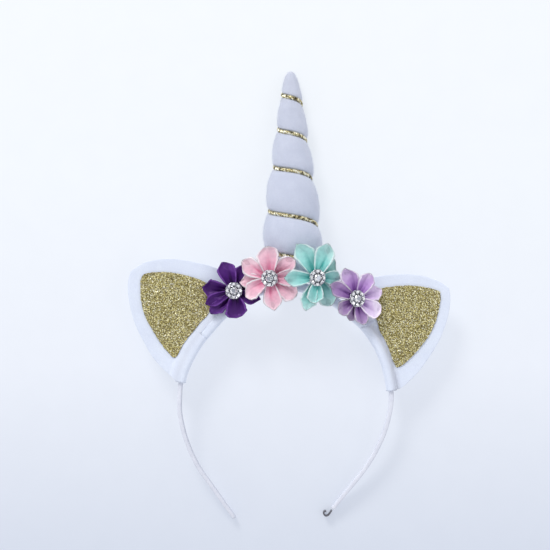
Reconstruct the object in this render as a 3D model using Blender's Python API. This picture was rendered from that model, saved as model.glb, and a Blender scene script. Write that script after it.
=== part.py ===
"""Unicorn horn headband: a ribbon-wrapped band with felt ears, a stuffed horn and four satin flowers.

Metres. It lies on its back, on the stuffed horn and the two tips of the band, so its front faces
+Z and the horn points along +Y. The origin is the middle of the crown's inner side, where it rests
on the top of a head. Every piece is first shaped as it is worn, with +Z up and its front to -Y,
and is laid down at the end.
"""
import bmesh
import bpy
import math
from mathutils import Vector
from mathutils.bvhtree import BVHTree

for old in list(bpy.data.objects):
    bpy.data.objects.remove(old, do_unlink=True)

MM = 0.001

# Driving sizes in millimetres
GAP = 0.3
BAND_THICK = 2.7
BAND_WIDE = 6.5
FELT_WALL = 1.2
LEAF_THICK = 2.4
GLITTER_THICK = 0.8
PANEL_POINTS = 26
WRAP_HALF = BAND_THICK / 2 + GAP + FELT_WALL
WRAP_DEEP = BAND_WIDE / 2 + GAP + FELT_WALL
TUNNEL_HALF = BAND_THICK / 2 + GAP
TUNNEL_DEEP = BAND_WIDE / 2 + GAP
CORD_RADIUS = 1.1
CORD_SIDES = 5
TIP_Z = 134.3
BASE_Z = 6.1
PETAL_THICK = 0.7
PETAL_STEP = 1.35
PETAL_RIM = 0.35
PETAL_CUP = 1.0
BUTTON_RADIUS = 5.0
CUP_SIDES = 12
SHANK_RADIUS = 2.2
BARE_BACK = 15.1
LEAN_FROM = 30.0
LEAN_POWER = 1.35
LEAN_SHARE = 0.0268
LEAN_GROWTH = 790.0

# Centre line of the band from the left tip over the crown to the right tip
BAND = [
    {"x": -31.4, "y": 15.2, "z": -138.0},
    {"x": -44.2, "y": 10.5, "z": -119.5},
    {"x": -53.7, "y": 7.2, "z": -105.3},
    {"x": -60.4, "y": 3.9, "z": -89.8},
    {"x": -63.7, "y": 1.7, "z": -76.0},
    {"x": -64.2, "y": 0.7, "z": -67.3},
    {"x": -63.4, "y": 0.0, "z": -55.0},
    {"x": -60.3, "y": 0.0, "z": -44.9},
    {"x": -54.0, "y": 0.0, "z": -33.1},
    {"x": -47.0, "y": 0.0, "z": -24.0},
    {"x": -37.3, "y": 0.0, "z": -13.6},
    {"x": -22.9, "y": 0.0, "z": -2.6},
    {"x": 0.0, "y": 0.0, "z": 2.85},
    {"x": 22.9, "y": 0.0, "z": -2.6},
    {"x": 43.3, "y": 0.0, "z": -17.6},
    {"x": 52.7, "y": 0.0, "z": -28.6},
    {"x": 58.7, "y": 0.0, "z": -40.4},
    {"x": 62.4, "y": 0.0, "z": -54.3},
    {"x": 63.3, "y": 0.7, "z": -66.5},
    {"x": 60.6, "y": 2.5, "z": -80.8},
    {"x": 56.2, "y": 4.6, "z": -92.6},
    {"x": 50.3, "y": 6.9, "z": -103.5},
    {"x": 43.5, "y": 9.3, "z": -113.2},
    {"x": 35.5, "y": 12.1, "z": -123.2},
    {"x": 28.25, "y": 14.7, "z": -132.6},
]

# Rolled bare steel end under the ribbon of the right tip
BARE_END = [
    {"x": 27.9, "z": -133.2},
    {"x": 26.95, "z": -134.7},
    {"x": 25.6, "z": -136.3},
    {"x": 24.0, "z": -136.5},
    {"x": 23.0, "z": -135.3},
    {"x": 23.4, "z": -133.9},
    {"x": 24.5, "z": -133.8},
]

# Outer edge of each ear, from the band's outer side below to the part hidden under the flower
LEFT_EAR = [
    {"x": -67.0, "z": -53.4}, {"x": -71.7, "z": -49.3}, {"x": -75.9, "z": -45.3},
    {"x": -81.3, "z": -38.6}, {"x": -85.2, "z": -31.8}, {"x": -89.2, "z": -24.3},
    {"x": -92.3, "z": -16.4}, {"x": -94.3, "z": -8.3}, {"x": -95.4, "z": -1.5},
    {"x": -95.4, "z": 5.5}, {"x": -93.6, "z": 12.2}, {"x": -86.6, "z": 16.6},
    {"x": -80.5, "z": 18.4}, {"x": -73.8, "z": 19.3}, {"x": -67.0, "z": 19.3},
    {"x": -60.3, "z": 18.4}, {"x": -53.5, "z": 17.0}, {"x": -46.7, "z": 15.4},
    {"x": -41.4, "z": 13.4}, {"x": -35.0, "z": 9.0}, {"x": -28.5, "z": 3.6},
]
RIGHT_EAR = [
    {"x": 67.2, "z": -59.0}, {"x": 68.8, "z": -58.7}, {"x": 73.3, "z": -55.2},
    {"x": 79.3, "z": -49.2}, {"x": 84.0, "z": -43.1}, {"x": 88.6, "z": -36.4},
    {"x": 92.1, "z": -30.3}, {"x": 94.7, "z": -24.3}, {"x": 96.9, "z": -18.2},
    {"x": 98.5, "z": -10.9}, {"x": 99.0, "z": -4.2}, {"x": 98.2, "z": 1.9},
    {"x": 94.1, "z": 4.6}, {"x": 90.1, "z": 6.7}, {"x": 85.4, "z": 8.3},
    {"x": 80.0, "z": 9.5}, {"x": 73.3, "z": 10.1}, {"x": 66.5, "z": 10.1},
    {"x": 59.7, "z": 9.5}, {"x": 53.7, "z": 8.3}, {"x": 45.0, "z": 5.0},
    {"x": 38.0, "z": -1.6},
]
LEFT_GLITTER = [
    {"x": -87.8, "z": 5.5}, {"x": -87.4, "z": -4.9}, {"x": -86.0, "z": -12.1},
    {"x": -83.2, "z": -18.8}, {"x": -79.2, "z": -25.7}, {"x": -75.3, "z": -31.8},
    {"x": -71.0, "z": -37.0}, {"x": -66.8, "z": -40.1}, {"x": -62.3, "z": -32.5},
    {"x": -58.9, "z": -27.8}, {"x": -54.9, "z": -23.1}, {"x": -51.0, "z": -18.2},
    {"x": -47.5, "z": -14.6}, {"x": -43.7, "z": -6.1}, {"x": -43.7, "z": 1.2},
    {"x": -47.5, "z": 4.2}, {"x": -52.2, "z": 6.7}, {"x": -57.1, "z": 8.3},
    {"x": -63.7, "z": 10.0}, {"x": -70.4, "z": 11.1}, {"x": -77.1, "z": 11.2},
    {"x": -82.6, "z": 10.7}, {"x": -86.5, "z": 9.1},
]
RIGHT_GLITTER = [
    {"x": 92.9, "z": -3.0}, {"x": 92.9, "z": -6.1}, {"x": 91.7, "z": -12.1},
    {"x": 90.1, "z": -18.2}, {"x": 87.4, "z": -24.3}, {"x": 84.0, "z": -29.7},
    {"x": 80.0, "z": -34.8}, {"x": 75.9, "z": -39.3}, {"x": 71.2, "z": -43.7},
    {"x": 67.0, "z": -46.0}, {"x": 64.9, "z": -43.3}, {"x": 63.3, "z": -38.9},
    {"x": 61.7, "z": -34.1}, {"x": 59.3, "z": -28.9}, {"x": 56.5, "z": -24.1},
    {"x": 55.0, "z": -18.2}, {"x": 51.6, "z": -12.2}, {"x": 50.6, "z": -6.1},
    {"x": 52.8, "z": -0.9}, {"x": 58.3, "z": 1.6}, {"x": 63.1, "z": 2.4},
    {"x": 69.8, "z": 3.0}, {"x": 76.5, "z": 3.0}, {"x": 83.2, "z": 2.2},
    {"x": 88.0, "z": 1.2}, {"x": 92.3, "z": -0.6},
]

# Heights of the gold cord round the horn, a half turn apart, from the left side of the top turn
CORD_HEIGHTS = [
    {"turn": -2.0, "z": 134.3, "groove": 0.0},
    {"turn": -1.0, "z": 134.3, "groove": 0.0},
    {"turn": -0.5, "z": 129.3, "groove": 0.0},
    {"turn": -0.35, "z": 126.4, "groove": 1.0},
    {"turn": 0.0, "z": 119.9, "groove": 1.0},
    {"turn": 0.5, "z": 114.1, "groove": 1.0},
    {"turn": 1.0, "z": 98.6, "groove": 1.0},
    {"turn": 1.5, "z": 91.3, "groove": 1.0},
    {"turn": 2.0, "z": 75.4, "groove": 1.0},
    {"turn": 2.5, "z": 68.0, "groove": 1.0},
    {"turn": 3.0, "z": 48.7, "groove": 1.0},
    {"turn": 3.5, "z": 39.5, "groove": 1.0},
    {"turn": 4.0, "z": 24.2, "groove": 1.0},
    {"turn": 4.5, "z": 15.2, "groove": 1.0},
    {"turn": 4.7, "z": 11.6, "groove": 1.0},
    {"turn": 4.85, "z": 8.9, "groove": 0.0},
    {"turn": 5.0, "z": 6.1, "groove": 0.0},
    {"turn": 6.0, "z": 6.1, "groove": 0.0},
]
CORD_START = -6 / 20
CORD_END = 4 + 13 / 20

# Radius of the stuffed horn over its bulges, and of the cord's centre line
HORN_RADII = [
    {"z": 6.1, "bulge": 15.0, "cord": 13.0},
    {"z": 12.0, "bulge": 16.2, "cord": 14.2},
    {"z": 18.0, "bulge": 17.4, "cord": 15.0},
    {"z": 25.0, "bulge": 17.9, "cord": 15.2},
    {"z": 31.0, "bulge": 17.9, "cord": 14.9},
    {"z": 44.3, "bulge": 17.0, "cord": 14.0},
    {"z": 55.8, "bulge": 15.8, "cord": 12.9},
    {"z": 71.6, "bulge": 13.9, "cord": 10.8},
    {"z": 80.0, "bulge": 12.3, "cord": 9.7},
    {"z": 94.7, "bulge": 10.4, "cord": 8.0},
    {"z": 104.4, "bulge": 8.8, "cord": 6.9},
    {"z": 117.0, "bulge": 6.9, "cord": 5.5},
    {"z": 125.0, "bulge": 5.1, "cord": 4.0},
    {"z": 129.0, "bulge": 4.0, "cord": 3.0},
    {"z": 132.0, "bulge": 2.7, "cord": 1.6},
    {"z": 133.6, "bulge": 1.5, "cord": 0.6},
    {"z": 134.3, "bulge": 0.0, "cord": 0.0},
]

# Each flower's middle, the back of its stack there, its slopes, and where its shank ends
FLOWERS = [
    {"name": "purple", "x": -31.3, "z": -0.3, "back": -5.6, "slope_x": 0.0, "slope_z": 0.0,
     "rest": -4.3, "color": (0.09, 0.02, 0.20)},
    {"name": "pink", "x": -9.8, "z": 6.9, "back": -13.3, "slope_x": -0.22, "slope_z": -0.15,
     "rest": -10.9, "color": (0.87, 0.42, 0.55)},
    {"name": "mint", "x": 18.0, "z": 7.0, "back": -16.0, "slope_x": 0.35, "slope_z": -0.1,
     "rest": -10.9, "color": (0.22, 0.62, 0.60)},
    {"name": "lilac", "x": 41.8, "z": -5.2, "back": -10.8, "slope_x": 0.42, "slope_z": 0.0,
     "rest": -1.6, "color": (0.36, 0.17, 0.55)},
]

# Every petal by its direction, its reach from the middle, and its place in the stack
PETALS = {
    "purple": [
        {"angle": 111, "reach": 18.4, "layer": 0}, {"angle": 67, "reach": 14.9, "layer": 1},
        {"angle": 10, "reach": 15.0, "layer": 2}, {"angle": -22, "reach": 15.2, "layer": 1},
        {"angle": -86, "reach": 15.8, "layer": 0}, {"angle": 223, "reach": 19.0, "layer": 1},
        {"angle": 206, "reach": 17.9, "layer": 0}, {"angle": 176, "reach": 18.4, "layer": 2},
    ],
    "pink": [
        {"angle": 98, "reach": 18.4, "layer": 0}, {"angle": 152, "reach": 19.6, "layer": 1},
        {"angle": 188, "reach": 17.9, "layer": 2}, {"angle": 216, "reach": 17.9, "layer": 0},
        {"angle": 275, "reach": 19.0, "layer": 1}, {"angle": 327, "reach": 19.0, "layer": 2},
        {"angle": 0, "reach": 16.0, "layer": 1}, {"angle": 37, "reach": 17.9, "layer": 2},
    ],
    "mint": [
        {"angle": 120, "reach": 23.0, "layer": 1}, {"angle": 71, "reach": 21.4, "layer": 0},
        {"angle": 42, "reach": 14.9, "layer": 2}, {"angle": 0, "reach": 13.1, "layer": 1},
        {"angle": 298, "reach": 17.9, "layer": 2}, {"angle": 262, "reach": 15.2, "layer": 0},
        {"angle": 249, "reach": 20.2, "layer": 1}, {"angle": 183, "reach": 19.6, "layer": 0},
    ],
    "lilac": [
        {"angle": 109, "reach": 19.4, "layer": 1}, {"angle": 60, "reach": 17.3, "layer": 0},
        {"angle": 19, "reach": 16.1, "layer": 1}, {"angle": -30, "reach": 16.7, "layer": 0},
        {"angle": -77, "reach": 15.5, "layer": 1}, {"angle": 252, "reach": 13.1, "layer": 2},
        {"angle": 215, "reach": 13.1, "layer": 1}, {"angle": 152, "reach": 17.9, "layer": 0},
    ],
}

part_collection = bpy.data.collections.new("unicorn_horn_headband")
guide_collection = bpy.data.collections.new("guides")
bpy.context.scene.collection.children.link(part_collection)
bpy.context.scene.collection.children.link(guide_collection)


def material(name, color, roughness, metallic=0.0):
    mat = bpy.data.materials.new(name)
    mat.use_nodes = True
    shader = mat.node_tree.nodes["Principled BSDF"]
    shader.inputs["Base Color"].default_value = (*color, 1.0)
    shader.inputs["Roughness"].default_value = roughness
    shader.inputs["Metallic"].default_value = metallic
    mat.diffuse_color = (*color, 1.0)
    return mat


def make_object(name, bm, mat, collection=part_collection, smooth=True):
    bmesh.ops.recalc_face_normals(bm, faces=bm.faces)
    mesh = bpy.data.meshes.new(name)
    bm.to_mesh(mesh)
    bm.free()
    if mat is not None:
        mesh.materials.append(mat)
    obj = bpy.data.objects.new(name, mesh)
    collection.objects.link(obj)
    if smooth:
        mesh.shade_smooth()
        mesh.set_sharp_from_angle(angle=math.radians(40))
    if collection == guide_collection:
        obj.hide_render = True
        obj.display_type = "WIRE"
    return obj


def smooth_points(points, count):
    """An even row of points along a smooth curve through the given ones."""
    pts = [2 * points[0] - points[1], *points, 2 * points[-1] - points[-2]]
    fine = []
    for i in range(1, len(pts) - 2):
        p0, p1, p2, p3 = pts[i - 1:i + 3]
        for k in range(16):
            t = k / 16
            fine.append(0.5 * (2 * p1 + (p2 - p0) * t + (2 * p0 - 5 * p1 + 4 * p2 - p3) * t * t
                               + (3 * p1 - p0 - 3 * p2 + p3) * t ** 3))
    fine.append(points[-1].copy())
    return even_points(fine, count)


def even_points(points, count):
    """The same line resampled to an even step."""
    lengths = [0.0]
    for a, b in zip(points, points[1:]):
        lengths.append(lengths[-1] + (b - a).length)
    out = []
    k = 0
    for i in range(count):
        target = lengths[-1] * i / (count - 1)
        while k < len(points) - 2 and lengths[k + 1] < target:
            k += 1
        step = max(lengths[k + 1] - lengths[k], 1e-9)
        out.append(points[k].lerp(points[k + 1], min(1.0, (target - lengths[k]) / step)))
    return out


def blend(table, key, value, column):
    """A column of a table read at a value of its key, with straight steps."""
    rows = sorted(table, key=lambda row: row[key])
    if value <= rows[0][key]:
        return rows[0][column]
    for low, high in zip(rows, rows[1:]):
        if value <= high[key]:
            t = (value - low[key]) / (high[key] - low[key])
            return low[column] + (high[column] - low[column]) * t
    return rows[-1][column]


def eased(table, key, value, column):
    """A column of a table read at a value of its key, along a smooth curve that never overshoots."""
    rows = sorted(table, key=lambda row: row[key])
    xs = [row[key] for row in rows]
    ys = [row[column] for row in rows]
    if value <= xs[0]:
        return ys[0]
    if value >= xs[-1]:
        return ys[-1]
    i = 0
    while value > xs[i + 1]:
        i += 1
    secant = [(ys[k + 1] - ys[k]) / (xs[k + 1] - xs[k]) for k in range(len(xs) - 1)]

    def slope(k):
        if k == 0:
            return secant[0]
        if k == len(xs) - 1:
            return secant[-1]
        a, b = secant[k - 1], secant[k]
        return 0.0 if a * b <= 0 else 2 * a * b / (a + b)

    h = xs[i + 1] - xs[i]
    t = (value - xs[i]) / h
    return (ys[i] * (2 * t ** 3 - 3 * t ** 2 + 1) + h * slope(i) * (t ** 3 - 2 * t ** 2 + t)
            + ys[i + 1] * (3 * t ** 2 - 2 * t ** 3) + h * slope(i + 1) * (t ** 3 - t ** 2))


def point(row):
    return Vector((row["x"], row.get("y", 0.0), row["z"]))


path = smooth_points([point(row) for row in BAND], 241)
tangents = []
for i in range(len(path)):
    tangents.append((path[min(i + 1, 240)] - path[max(i - 1, 0)]).normalized())
normals = [t.cross(Vector((0, 1, 0))).normalized() for t in tangents]
sides = [n.cross(t).normalized() for n, t in zip(normals, tangents)]


def nearest(x, z):
    """Index of the band's nearest centre point and the distance outward from it."""
    best = min(range(40, 200), key=lambda i: (path[i].x - x) ** 2 + (path[i].z - z) ** 2)
    away = Vector((x - path[best].x, 0, z - path[best].z))
    sign = 1.0 if away.dot(normals[best]) >= 0 else -1.0
    return best, sign * away.length


def sweep(bm, stations, sections, cap=True):
    """Rings of (outward, sideways) section points carried along the band's frames."""
    rings = []
    for i, section in zip(stations, sections):
        ring = []
        for out, side in section:
            ring.append(bm.verts.new((path[i] + normals[i] * out + sides[i] * side) * MM))
        rings.append(ring)
    for a, b in zip(rings, rings[1:]):
        for k in range(len(a)):
            m = (k + 1) % len(a)
            bm.faces.new((a[k], a[m], b[m], b[k]))
    if cap:
        bm.faces.new(rings[0])
        bm.faces.new(list(reversed(rings[-1])))
    return rings


def rounded_section(half_out, half_side, corner):
    """A flat strip's section with its four edges rounded."""
    points = []
    for cx, cy, start in ((1, 1, 0), (-1, 1, 90), (-1, -1, 180), (1, -1, 270)):
        for k in range(3):
            a = math.radians(start + 45 * k)
            points.append((cx * (half_out - corner) + corner * math.cos(a),
                           cy * (half_side - corner) + corner * math.sin(a)))
    return points


# The ribbon-wrapped band, a little thicker under the ears than at its tips
ribbon_white = material("ribbon_white", (0.80, 0.82, 0.90), 0.45)
bm = bmesh.new()
stations = list(range(0, 241, 6))
sections = []
for i in stations:
    ease = min(1.0, min(i, 240 - i) / 70)
    scale = 0.86 + 0.14 * ease
    end = 0.9 if i in (0, 240) else 1.0
    sections.append(rounded_section(BAND_THICK / 2 * scale * end, BAND_WIDE / 2 * end, 0.8 * end))
sweep(bm, stations, sections)
make_object("ribbon_wrapped_band", bm, ribbon_white)

# The bare rolled end of the steel strip at the right tip
steel = material("bare_steel", (0.16, 0.15, 0.17), 0.35, 1.0)
end_path = smooth_points([Vector((row["x"], BARE_BACK, row["z"])) for row in BARE_END], 15)
bm = bmesh.new()
rings = []
for i, spot in enumerate(end_path):
    along = (end_path[min(i + 1, 14)] - end_path[max(i - 1, 0)]).normalized()
    out = along.cross(Vector((0, 1, 0)))
    ring = []
    for o, s in ((0.4, 2.9), (-0.4, 2.9), (-0.4, -2.9), (0.4, -2.9)):
        ring.append(bm.verts.new((spot + out * o + Vector((0, s, 0))) * MM))
    rings.append(ring)
for a, b in zip(rings, rings[1:]):
    for k in range(4):
        m = (k + 1) % 4
        bm.faces.new((a[k], a[m], b[m], b[k]))
bm.faces.new(rings[0])
bm.faces.new(list(reversed(rings[-1])))
make_object("bare_steel_end", bm, steel)

# The felt sleeve round the crown, between the two ears
felt_white = material("felt_white", (0.72, 0.76, 0.90), 0.9)
left_notch, _ = nearest(-51.3, -29.4)
right_notch, _ = nearest(48.4, -23.2)
bm = bmesh.new()
stations = list(range(left_notch + 2, right_notch - 1, 5))
outer = sweep(bm, stations, [rounded_section(WRAP_HALF, WRAP_DEEP, 1.6)] * len(stations), False)
inner = sweep(bm, stations, [rounded_section(TUNNEL_HALF, TUNNEL_DEEP, 0.6)] * len(stations), False)
for side in (0, -1):
    for k in range(12):
        m = (k + 1) % 12
        bm.faces.new((outer[side][k], outer[side][m], inner[side][m], inner[side][k]))
make_object("crown_felt_sleeve", bm, felt_white)


def ear_depth(away, reach, power):
    """Half the depth of the folded ear at a distance outward from the band's centre line."""
    leaf = LEAF_THICK / 2
    if away <= 0:
        fold = max(0.0, 1 - abs(away / WRAP_HALF) ** 3)
        return WRAP_DEEP * fold ** (1 / 3)
    if away >= reach:
        return leaf
    return leaf + (WRAP_DEEP - leaf) * (1 - (away / reach) ** power)


def ear_bow(away):
    """The ear's tip leans a little to the front."""
    return -2.5 * max(0.0, away / 55) ** 2


EARS = {
    "left": {"edge": LEFT_EAR, "panel": LEFT_GLITTER, "reach": 8.5, "power": 1.6, "corner": 10,
             "low": (-63.3, -54.6), "notch": left_notch, "high": (-26.5, -5.2)},
    "right": {"edge": RIGHT_EAR, "panel": RIGHT_GLITTER, "reach": 4.0, "power": 3.0, "corner": 11,
              "low": (62.9, -60.2), "notch": right_notch, "high": (37.0, -12.6)},
}


def build_ear(name, ear):
    """A piece of felt folded round the band, its two leaves glued together outside it."""
    low, _ = nearest(*ear["low"])
    high, _ = nearest(*ear["high"])
    notch = ear["notch"]
    step = 1 if high > low else -1
    wrap = [round(low + (notch - low) * k / 8) for k in range(9)]
    leaf = [round(notch + step + (high - notch - step) * k / 6) for k in range(7)]
    columns = [(i, -WRAP_HALF) for i in wrap] + [(i, WRAP_HALF + GAP) for i in leaf]
    start = path[low] + normals[low] * WRAP_HALF
    close = path[high] + normals[high] * (WRAP_HALF + GAP + 3.0)
    edge = [start] + [point(row) for row in ear["edge"]] + [close]
    corner = ear["corner"] + 1
    below = even_points(edge[:corner + 1], 11)
    above = even_points(edge[corner:], len(columns) - 10)
    rim = below + above[1:]
    bm = bmesh.new()
    front = []
    back = []
    fixed = [0.0, 0.3, 1.2, 2.8, 4.4, 6.0, 8.0, 11.0]
    for (i, out), far in zip(columns, rim):
        near = path[i] + normals[i] * out
        near.y = 0.0
        far = far.copy()
        far.y = 0.0
        span = (far - near).length
        scale = min(1.0, span / 17.0)
        away = [d * scale for d in fixed]
        rest = span - away[-1]
        away += [away[-1] + rest * 0.5, span - 0.9 * scale, span]
        front_column = []
        back_column = []
        for k, d in enumerate(away):
            spot = near.lerp(far, d / span)
            _, off = nearest(spot.x, spot.z)
            half = ear_depth(off, ear["reach"], ear["power"])
            if k == 0 and out < 0:
                half = 1.6
            if k == len(away) - 1:
                half *= 0.55
            bow = ear_bow(off)
            front_column.append(bm.verts.new(Vector((spot.x, bow - half, spot.z)) * MM))
            back_column.append(bm.verts.new(Vector((spot.x, bow + half, spot.z)) * MM))
        front.append(front_column)
        back.append(back_column)
    rows = len(front[0])
    for c in range(len(front) - 1):
        for r in range(rows - 1):
            bm.faces.new((front[c][r], front[c + 1][r], front[c + 1][r + 1], front[c][r + 1]))
            bm.faces.new((back[c][r], back[c][r + 1], back[c + 1][r + 1], back[c + 1][r]))
        for r in (0, rows - 1):
            bm.faces.new((front[c][r], back[c][r], back[c + 1][r], front[c + 1][r]))
    for c in (0, len(front) - 1):
        for r in range(rows - 1):
            bm.faces.new((front[c][r], front[c][r + 1], back[c][r + 1], back[c][r]))
    obj = make_object(name + "_ear_felt", bm, felt_white)
    cutter_bm = bmesh.new()
    first = min(low, notch) - 8
    last = max(low, notch) + 8
    stations = list(range(first, last + 1, 3))
    section = rounded_section(TUNNEL_HALF, TUNNEL_DEEP, 0.6)
    sweep(cutter_bm, stations, [section] * len(stations))
    cutter = make_object(name + "_ear_tunnel", cutter_bm, None, guide_collection, False)
    cut = obj.modifiers.new("band tunnel", "BOOLEAN")
    cut.operation = "DIFFERENCE"
    cut.solver = "EXACT"
    cut.object = cutter
    return obj


def felt_face(tree, x, z):
    """The foremost point of the felt at and around a place on the ear."""
    faces = []
    for k in range(9):
        turn = math.radians(45 * k)
        off = 2.0 if k < 8 else 0.0
        start = Vector((x + off * math.cos(turn), -30, z + off * math.sin(turn))) * MM
        hit = tree.ray_cast(start, Vector((0, 1, 0)))[0]
        if hit is not None:
            faces.append(hit.y / MM)
    return min(faces)


def build_panel(name, ear, felt, mat):
    """A thin glitter sheet lying on the front leaf of the ear."""
    corners = [v.co.copy() for v in felt.data.vertices]
    tree = BVHTree.FromPolygons(corners, [tuple(p.vertices) for p in felt.data.polygons])
    edge = [point(row) for row in ear["panel"]]
    edge = even_points(edge + [edge[0]], PANEL_POINTS + 1)[:-1]
    middle = sum(edge, Vector()) / len(edge)
    bm = bmesh.new()
    front = []
    back = []
    for shrink in (1.0, 0.96, 0.78, 0.42):
        front_ring = []
        back_ring = []
        for spot in edge:
            spot = middle.lerp(spot, shrink)
            face = felt_face(tree, spot.x, spot.z) - GAP - 0.25
            thick = GLITTER_THICK * (0.6 if shrink == 1.0 else 1.0)
            front_ring.append(bm.verts.new(Vector((spot.x, face - thick, spot.z)) * MM))
            back_ring.append(bm.verts.new(Vector((spot.x, face, spot.z)) * MM))
        front.append(front_ring)
        back.append(back_ring)
    for rings in (front, back):
        for a, b in zip(rings, rings[1:]):
            for k in range(PANEL_POINTS):
                m = (k + 1) % PANEL_POINTS
                bm.faces.new((a[k], a[m], b[m], b[k]))
        bm.faces.new(rings[-1])
    for k in range(PANEL_POINTS):
        m = (k + 1) % PANEL_POINTS
        bm.faces.new((front[0][k], front[0][m], back[0][m], back[0][k]))
    return make_object(name + "_ear_glitter", bm, mat)


glitter_gold = material("glitter_gold", (0.42, 0.33, 0.13), 0.35, 0.7)
for name, ear in EARS.items():
    felt = build_ear(name, ear)
    build_panel(name, ear, felt, glitter_gold)


# The stuffed horn, swelling between the turns of its cord
def horn_axis(z):
    return 4.2 - 1.2 * min(1.0, max(0.0, z / TIP_Z))


def lean_back(spot):
    """The horn leans back above the flowers, until its back runs level with the tips of the band."""
    lean = LEAN_SHARE * max(0.0, spot.z - LEAN_FROM) ** LEAN_POWER
    grow = 1 + lean / LEAN_GROWTH
    return Vector(((spot.x + 6.7) * grow - 6.7, spot.y * grow + lean, (spot.z + 35) * grow - 35))


def turn_height(turn):
    return eased(CORD_HEIGHTS, "turn", turn, "z")


def base_height(x, y):
    """The horn's base sits over the rounded crown of the sleeve."""
    near = max(0.0, 1 - abs(y) / 14)
    return -(x * x) / (2 * 95.0) * near


plush = material("horn_plush", (0.60, 0.63, 0.76), 0.95)
SEGMENTS = 20
FIRST_TURN = -2
LAST_TURN = 5
bm = bmesh.new()


def steepness(turn):
    """How much taller than wide the groove's section gets where the cord climbs steeply."""
    rise = (turn_height(turn - 0.02) - turn_height(turn + 0.02)) / (0.04 * 2 * math.pi)
    radius = max(eased(HORN_RADII, "z", turn_height(turn), "cord"), 1.0)
    return math.sqrt(1 + (rise / radius) ** 2)


def horn_spot(turn, row):
    """A point on the horn's side: row 0 lies in one turn's groove and row 9 in the next one's."""
    top = turn_height(turn)
    bottom = turn_height(turn + 1)
    pitch = top - bottom
    high = steepness(turn)
    low = steepness(turn + 1)
    drops = [0.0, 1.05 * high, 1.75 * high, 3.4 * high, 0.36 * pitch, 0.58 * pitch,
             pitch - 3.0 * low, pitch - 1.75 * low, pitch - 1.05 * low, pitch]
    even = [pitch * u for u in (0, 0.07, 0.15, 0.26, 0.38, 0.56, 0.72, 0.84, 0.93, 1.0)]
    share = min(1.0, max(0.0, (pitch - 9.0) / 4.0))
    drop = drops[row] * share + even[row] * (1 - share)
    z = top - drop
    full = eased(HORN_RADII, "z", z, "bulge")
    upper = blend(CORD_HEIGHTS, "turn", turn, "groove")
    lower = blend(CORD_HEIGHTS, "turn", turn + 1, "groove")
    radius = full
    for distance, weight, at in ((drop / high, upper, top), ((pitch - drop) / low, lower, bottom)):
        if weight <= 0:
            continue
        seat = eased(HORN_RADII, "z", at, "cord")
        clear = CORD_RADIUS + GAP + 0.12
        if distance < 1.4:
            value = seat - math.sqrt(max(0.0, clear ** 2 - distance ** 2))
        else:
            rise = min(1.0, (distance - 1.4) / max(0.42 * pitch, 3.0))
            value = seat + (full - seat) * math.sqrt(max(0.0, 1 - (1 - rise) ** 2)) + 0.05
        value = full + (value - full) * weight
        radius = min(radius, value)
    angle = math.radians(180 + 360 * turn)
    x = horn_axis(z) + radius * math.cos(angle)
    y = radius * math.sin(angle)
    fade = max(0.0, 1 - (z - BASE_Z) / 6)
    return lean_back(Vector((x, y, z + base_height(x, y) * fade))) * MM


columns = []
for c in range((LAST_TURN - FIRST_TURN) * SEGMENTS + 1):
    turn = FIRST_TURN + c / SEGMENTS
    columns.append([bm.verts.new(horn_spot(turn, row)) for row in range(10)])
for a, b in zip(columns, columns[1:]):
    for r in range(9):
        bm.faces.new((a[r], b[r], b[r + 1], a[r + 1]))
bmesh.ops.remove_doubles(bm, verts=bm.verts, dist=0.00002)
bmesh.ops.dissolve_degenerate(bm, edges=bm.edges, dist=0.00001)
loose = [f for f in bm.faces if f.calc_area() < 1e-13]
bmesh.ops.delete(bm, geom=loose, context="FACES")
holes = [e for e in bm.edges if e.is_boundary]
bmesh.ops.holes_fill(bm, edges=holes, sides=0)
make_object("stuffed_horn", bm, plush)

# The gold cord lies in the horn's spiral groove
gold = material("gold_cord", (0.65, 0.47, 0.12), 0.3, 1.0)
cord_points = []
cord_axis = []
steps = round((CORD_END - CORD_START) * SEGMENTS)
for i in range(steps + 1):
    turn = CORD_START + (CORD_END - CORD_START) * i / steps
    z = turn_height(turn)
    radius = eased(HORN_RADII, "z", z, "cord")
    angle = math.radians(180 + 360 * turn)
    cord_points.append(lean_back(Vector((horn_axis(z) + radius * math.cos(angle),
                                         radius * math.sin(angle), z))) * MM)
    cord_axis.append(lean_back(Vector((horn_axis(z), 0, z))) * MM)
bm = bmesh.new()
rings = []
for i, spot in enumerate(cord_points):
    along = (cord_points[min(i + 1, steps)] - cord_points[max(i - 1, 0)]).normalized()
    out = (spot - cord_axis[i]).normalized()
    up = along.cross(out).normalized()
    ring = []
    for k in range(CORD_SIDES):
        a = 2 * math.pi * k / CORD_SIDES
        ring.append(bm.verts.new(spot + (out * math.cos(a) + up * math.sin(a)) * CORD_RADIUS * MM))
    rings.append(ring)
for a, b in zip(rings, rings[1:]):
    for k in range(CORD_SIDES):
        m = (k + 1) % CORD_SIDES
        bm.faces.new((a[k], a[m], b[m], b[k]))
bm.faces.new(rings[0])
bm.faces.new(list(reversed(rings[-1])))
make_object("horn_gold_cord", bm, gold)


# Folded satin petals, a rhinestone button on each flower
def stack_back(flower, x, z):
    return flower["back"] + flower["slope_x"] * (x - flower["x"]) + flower["slope_z"] * (z - flower["z"])


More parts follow.
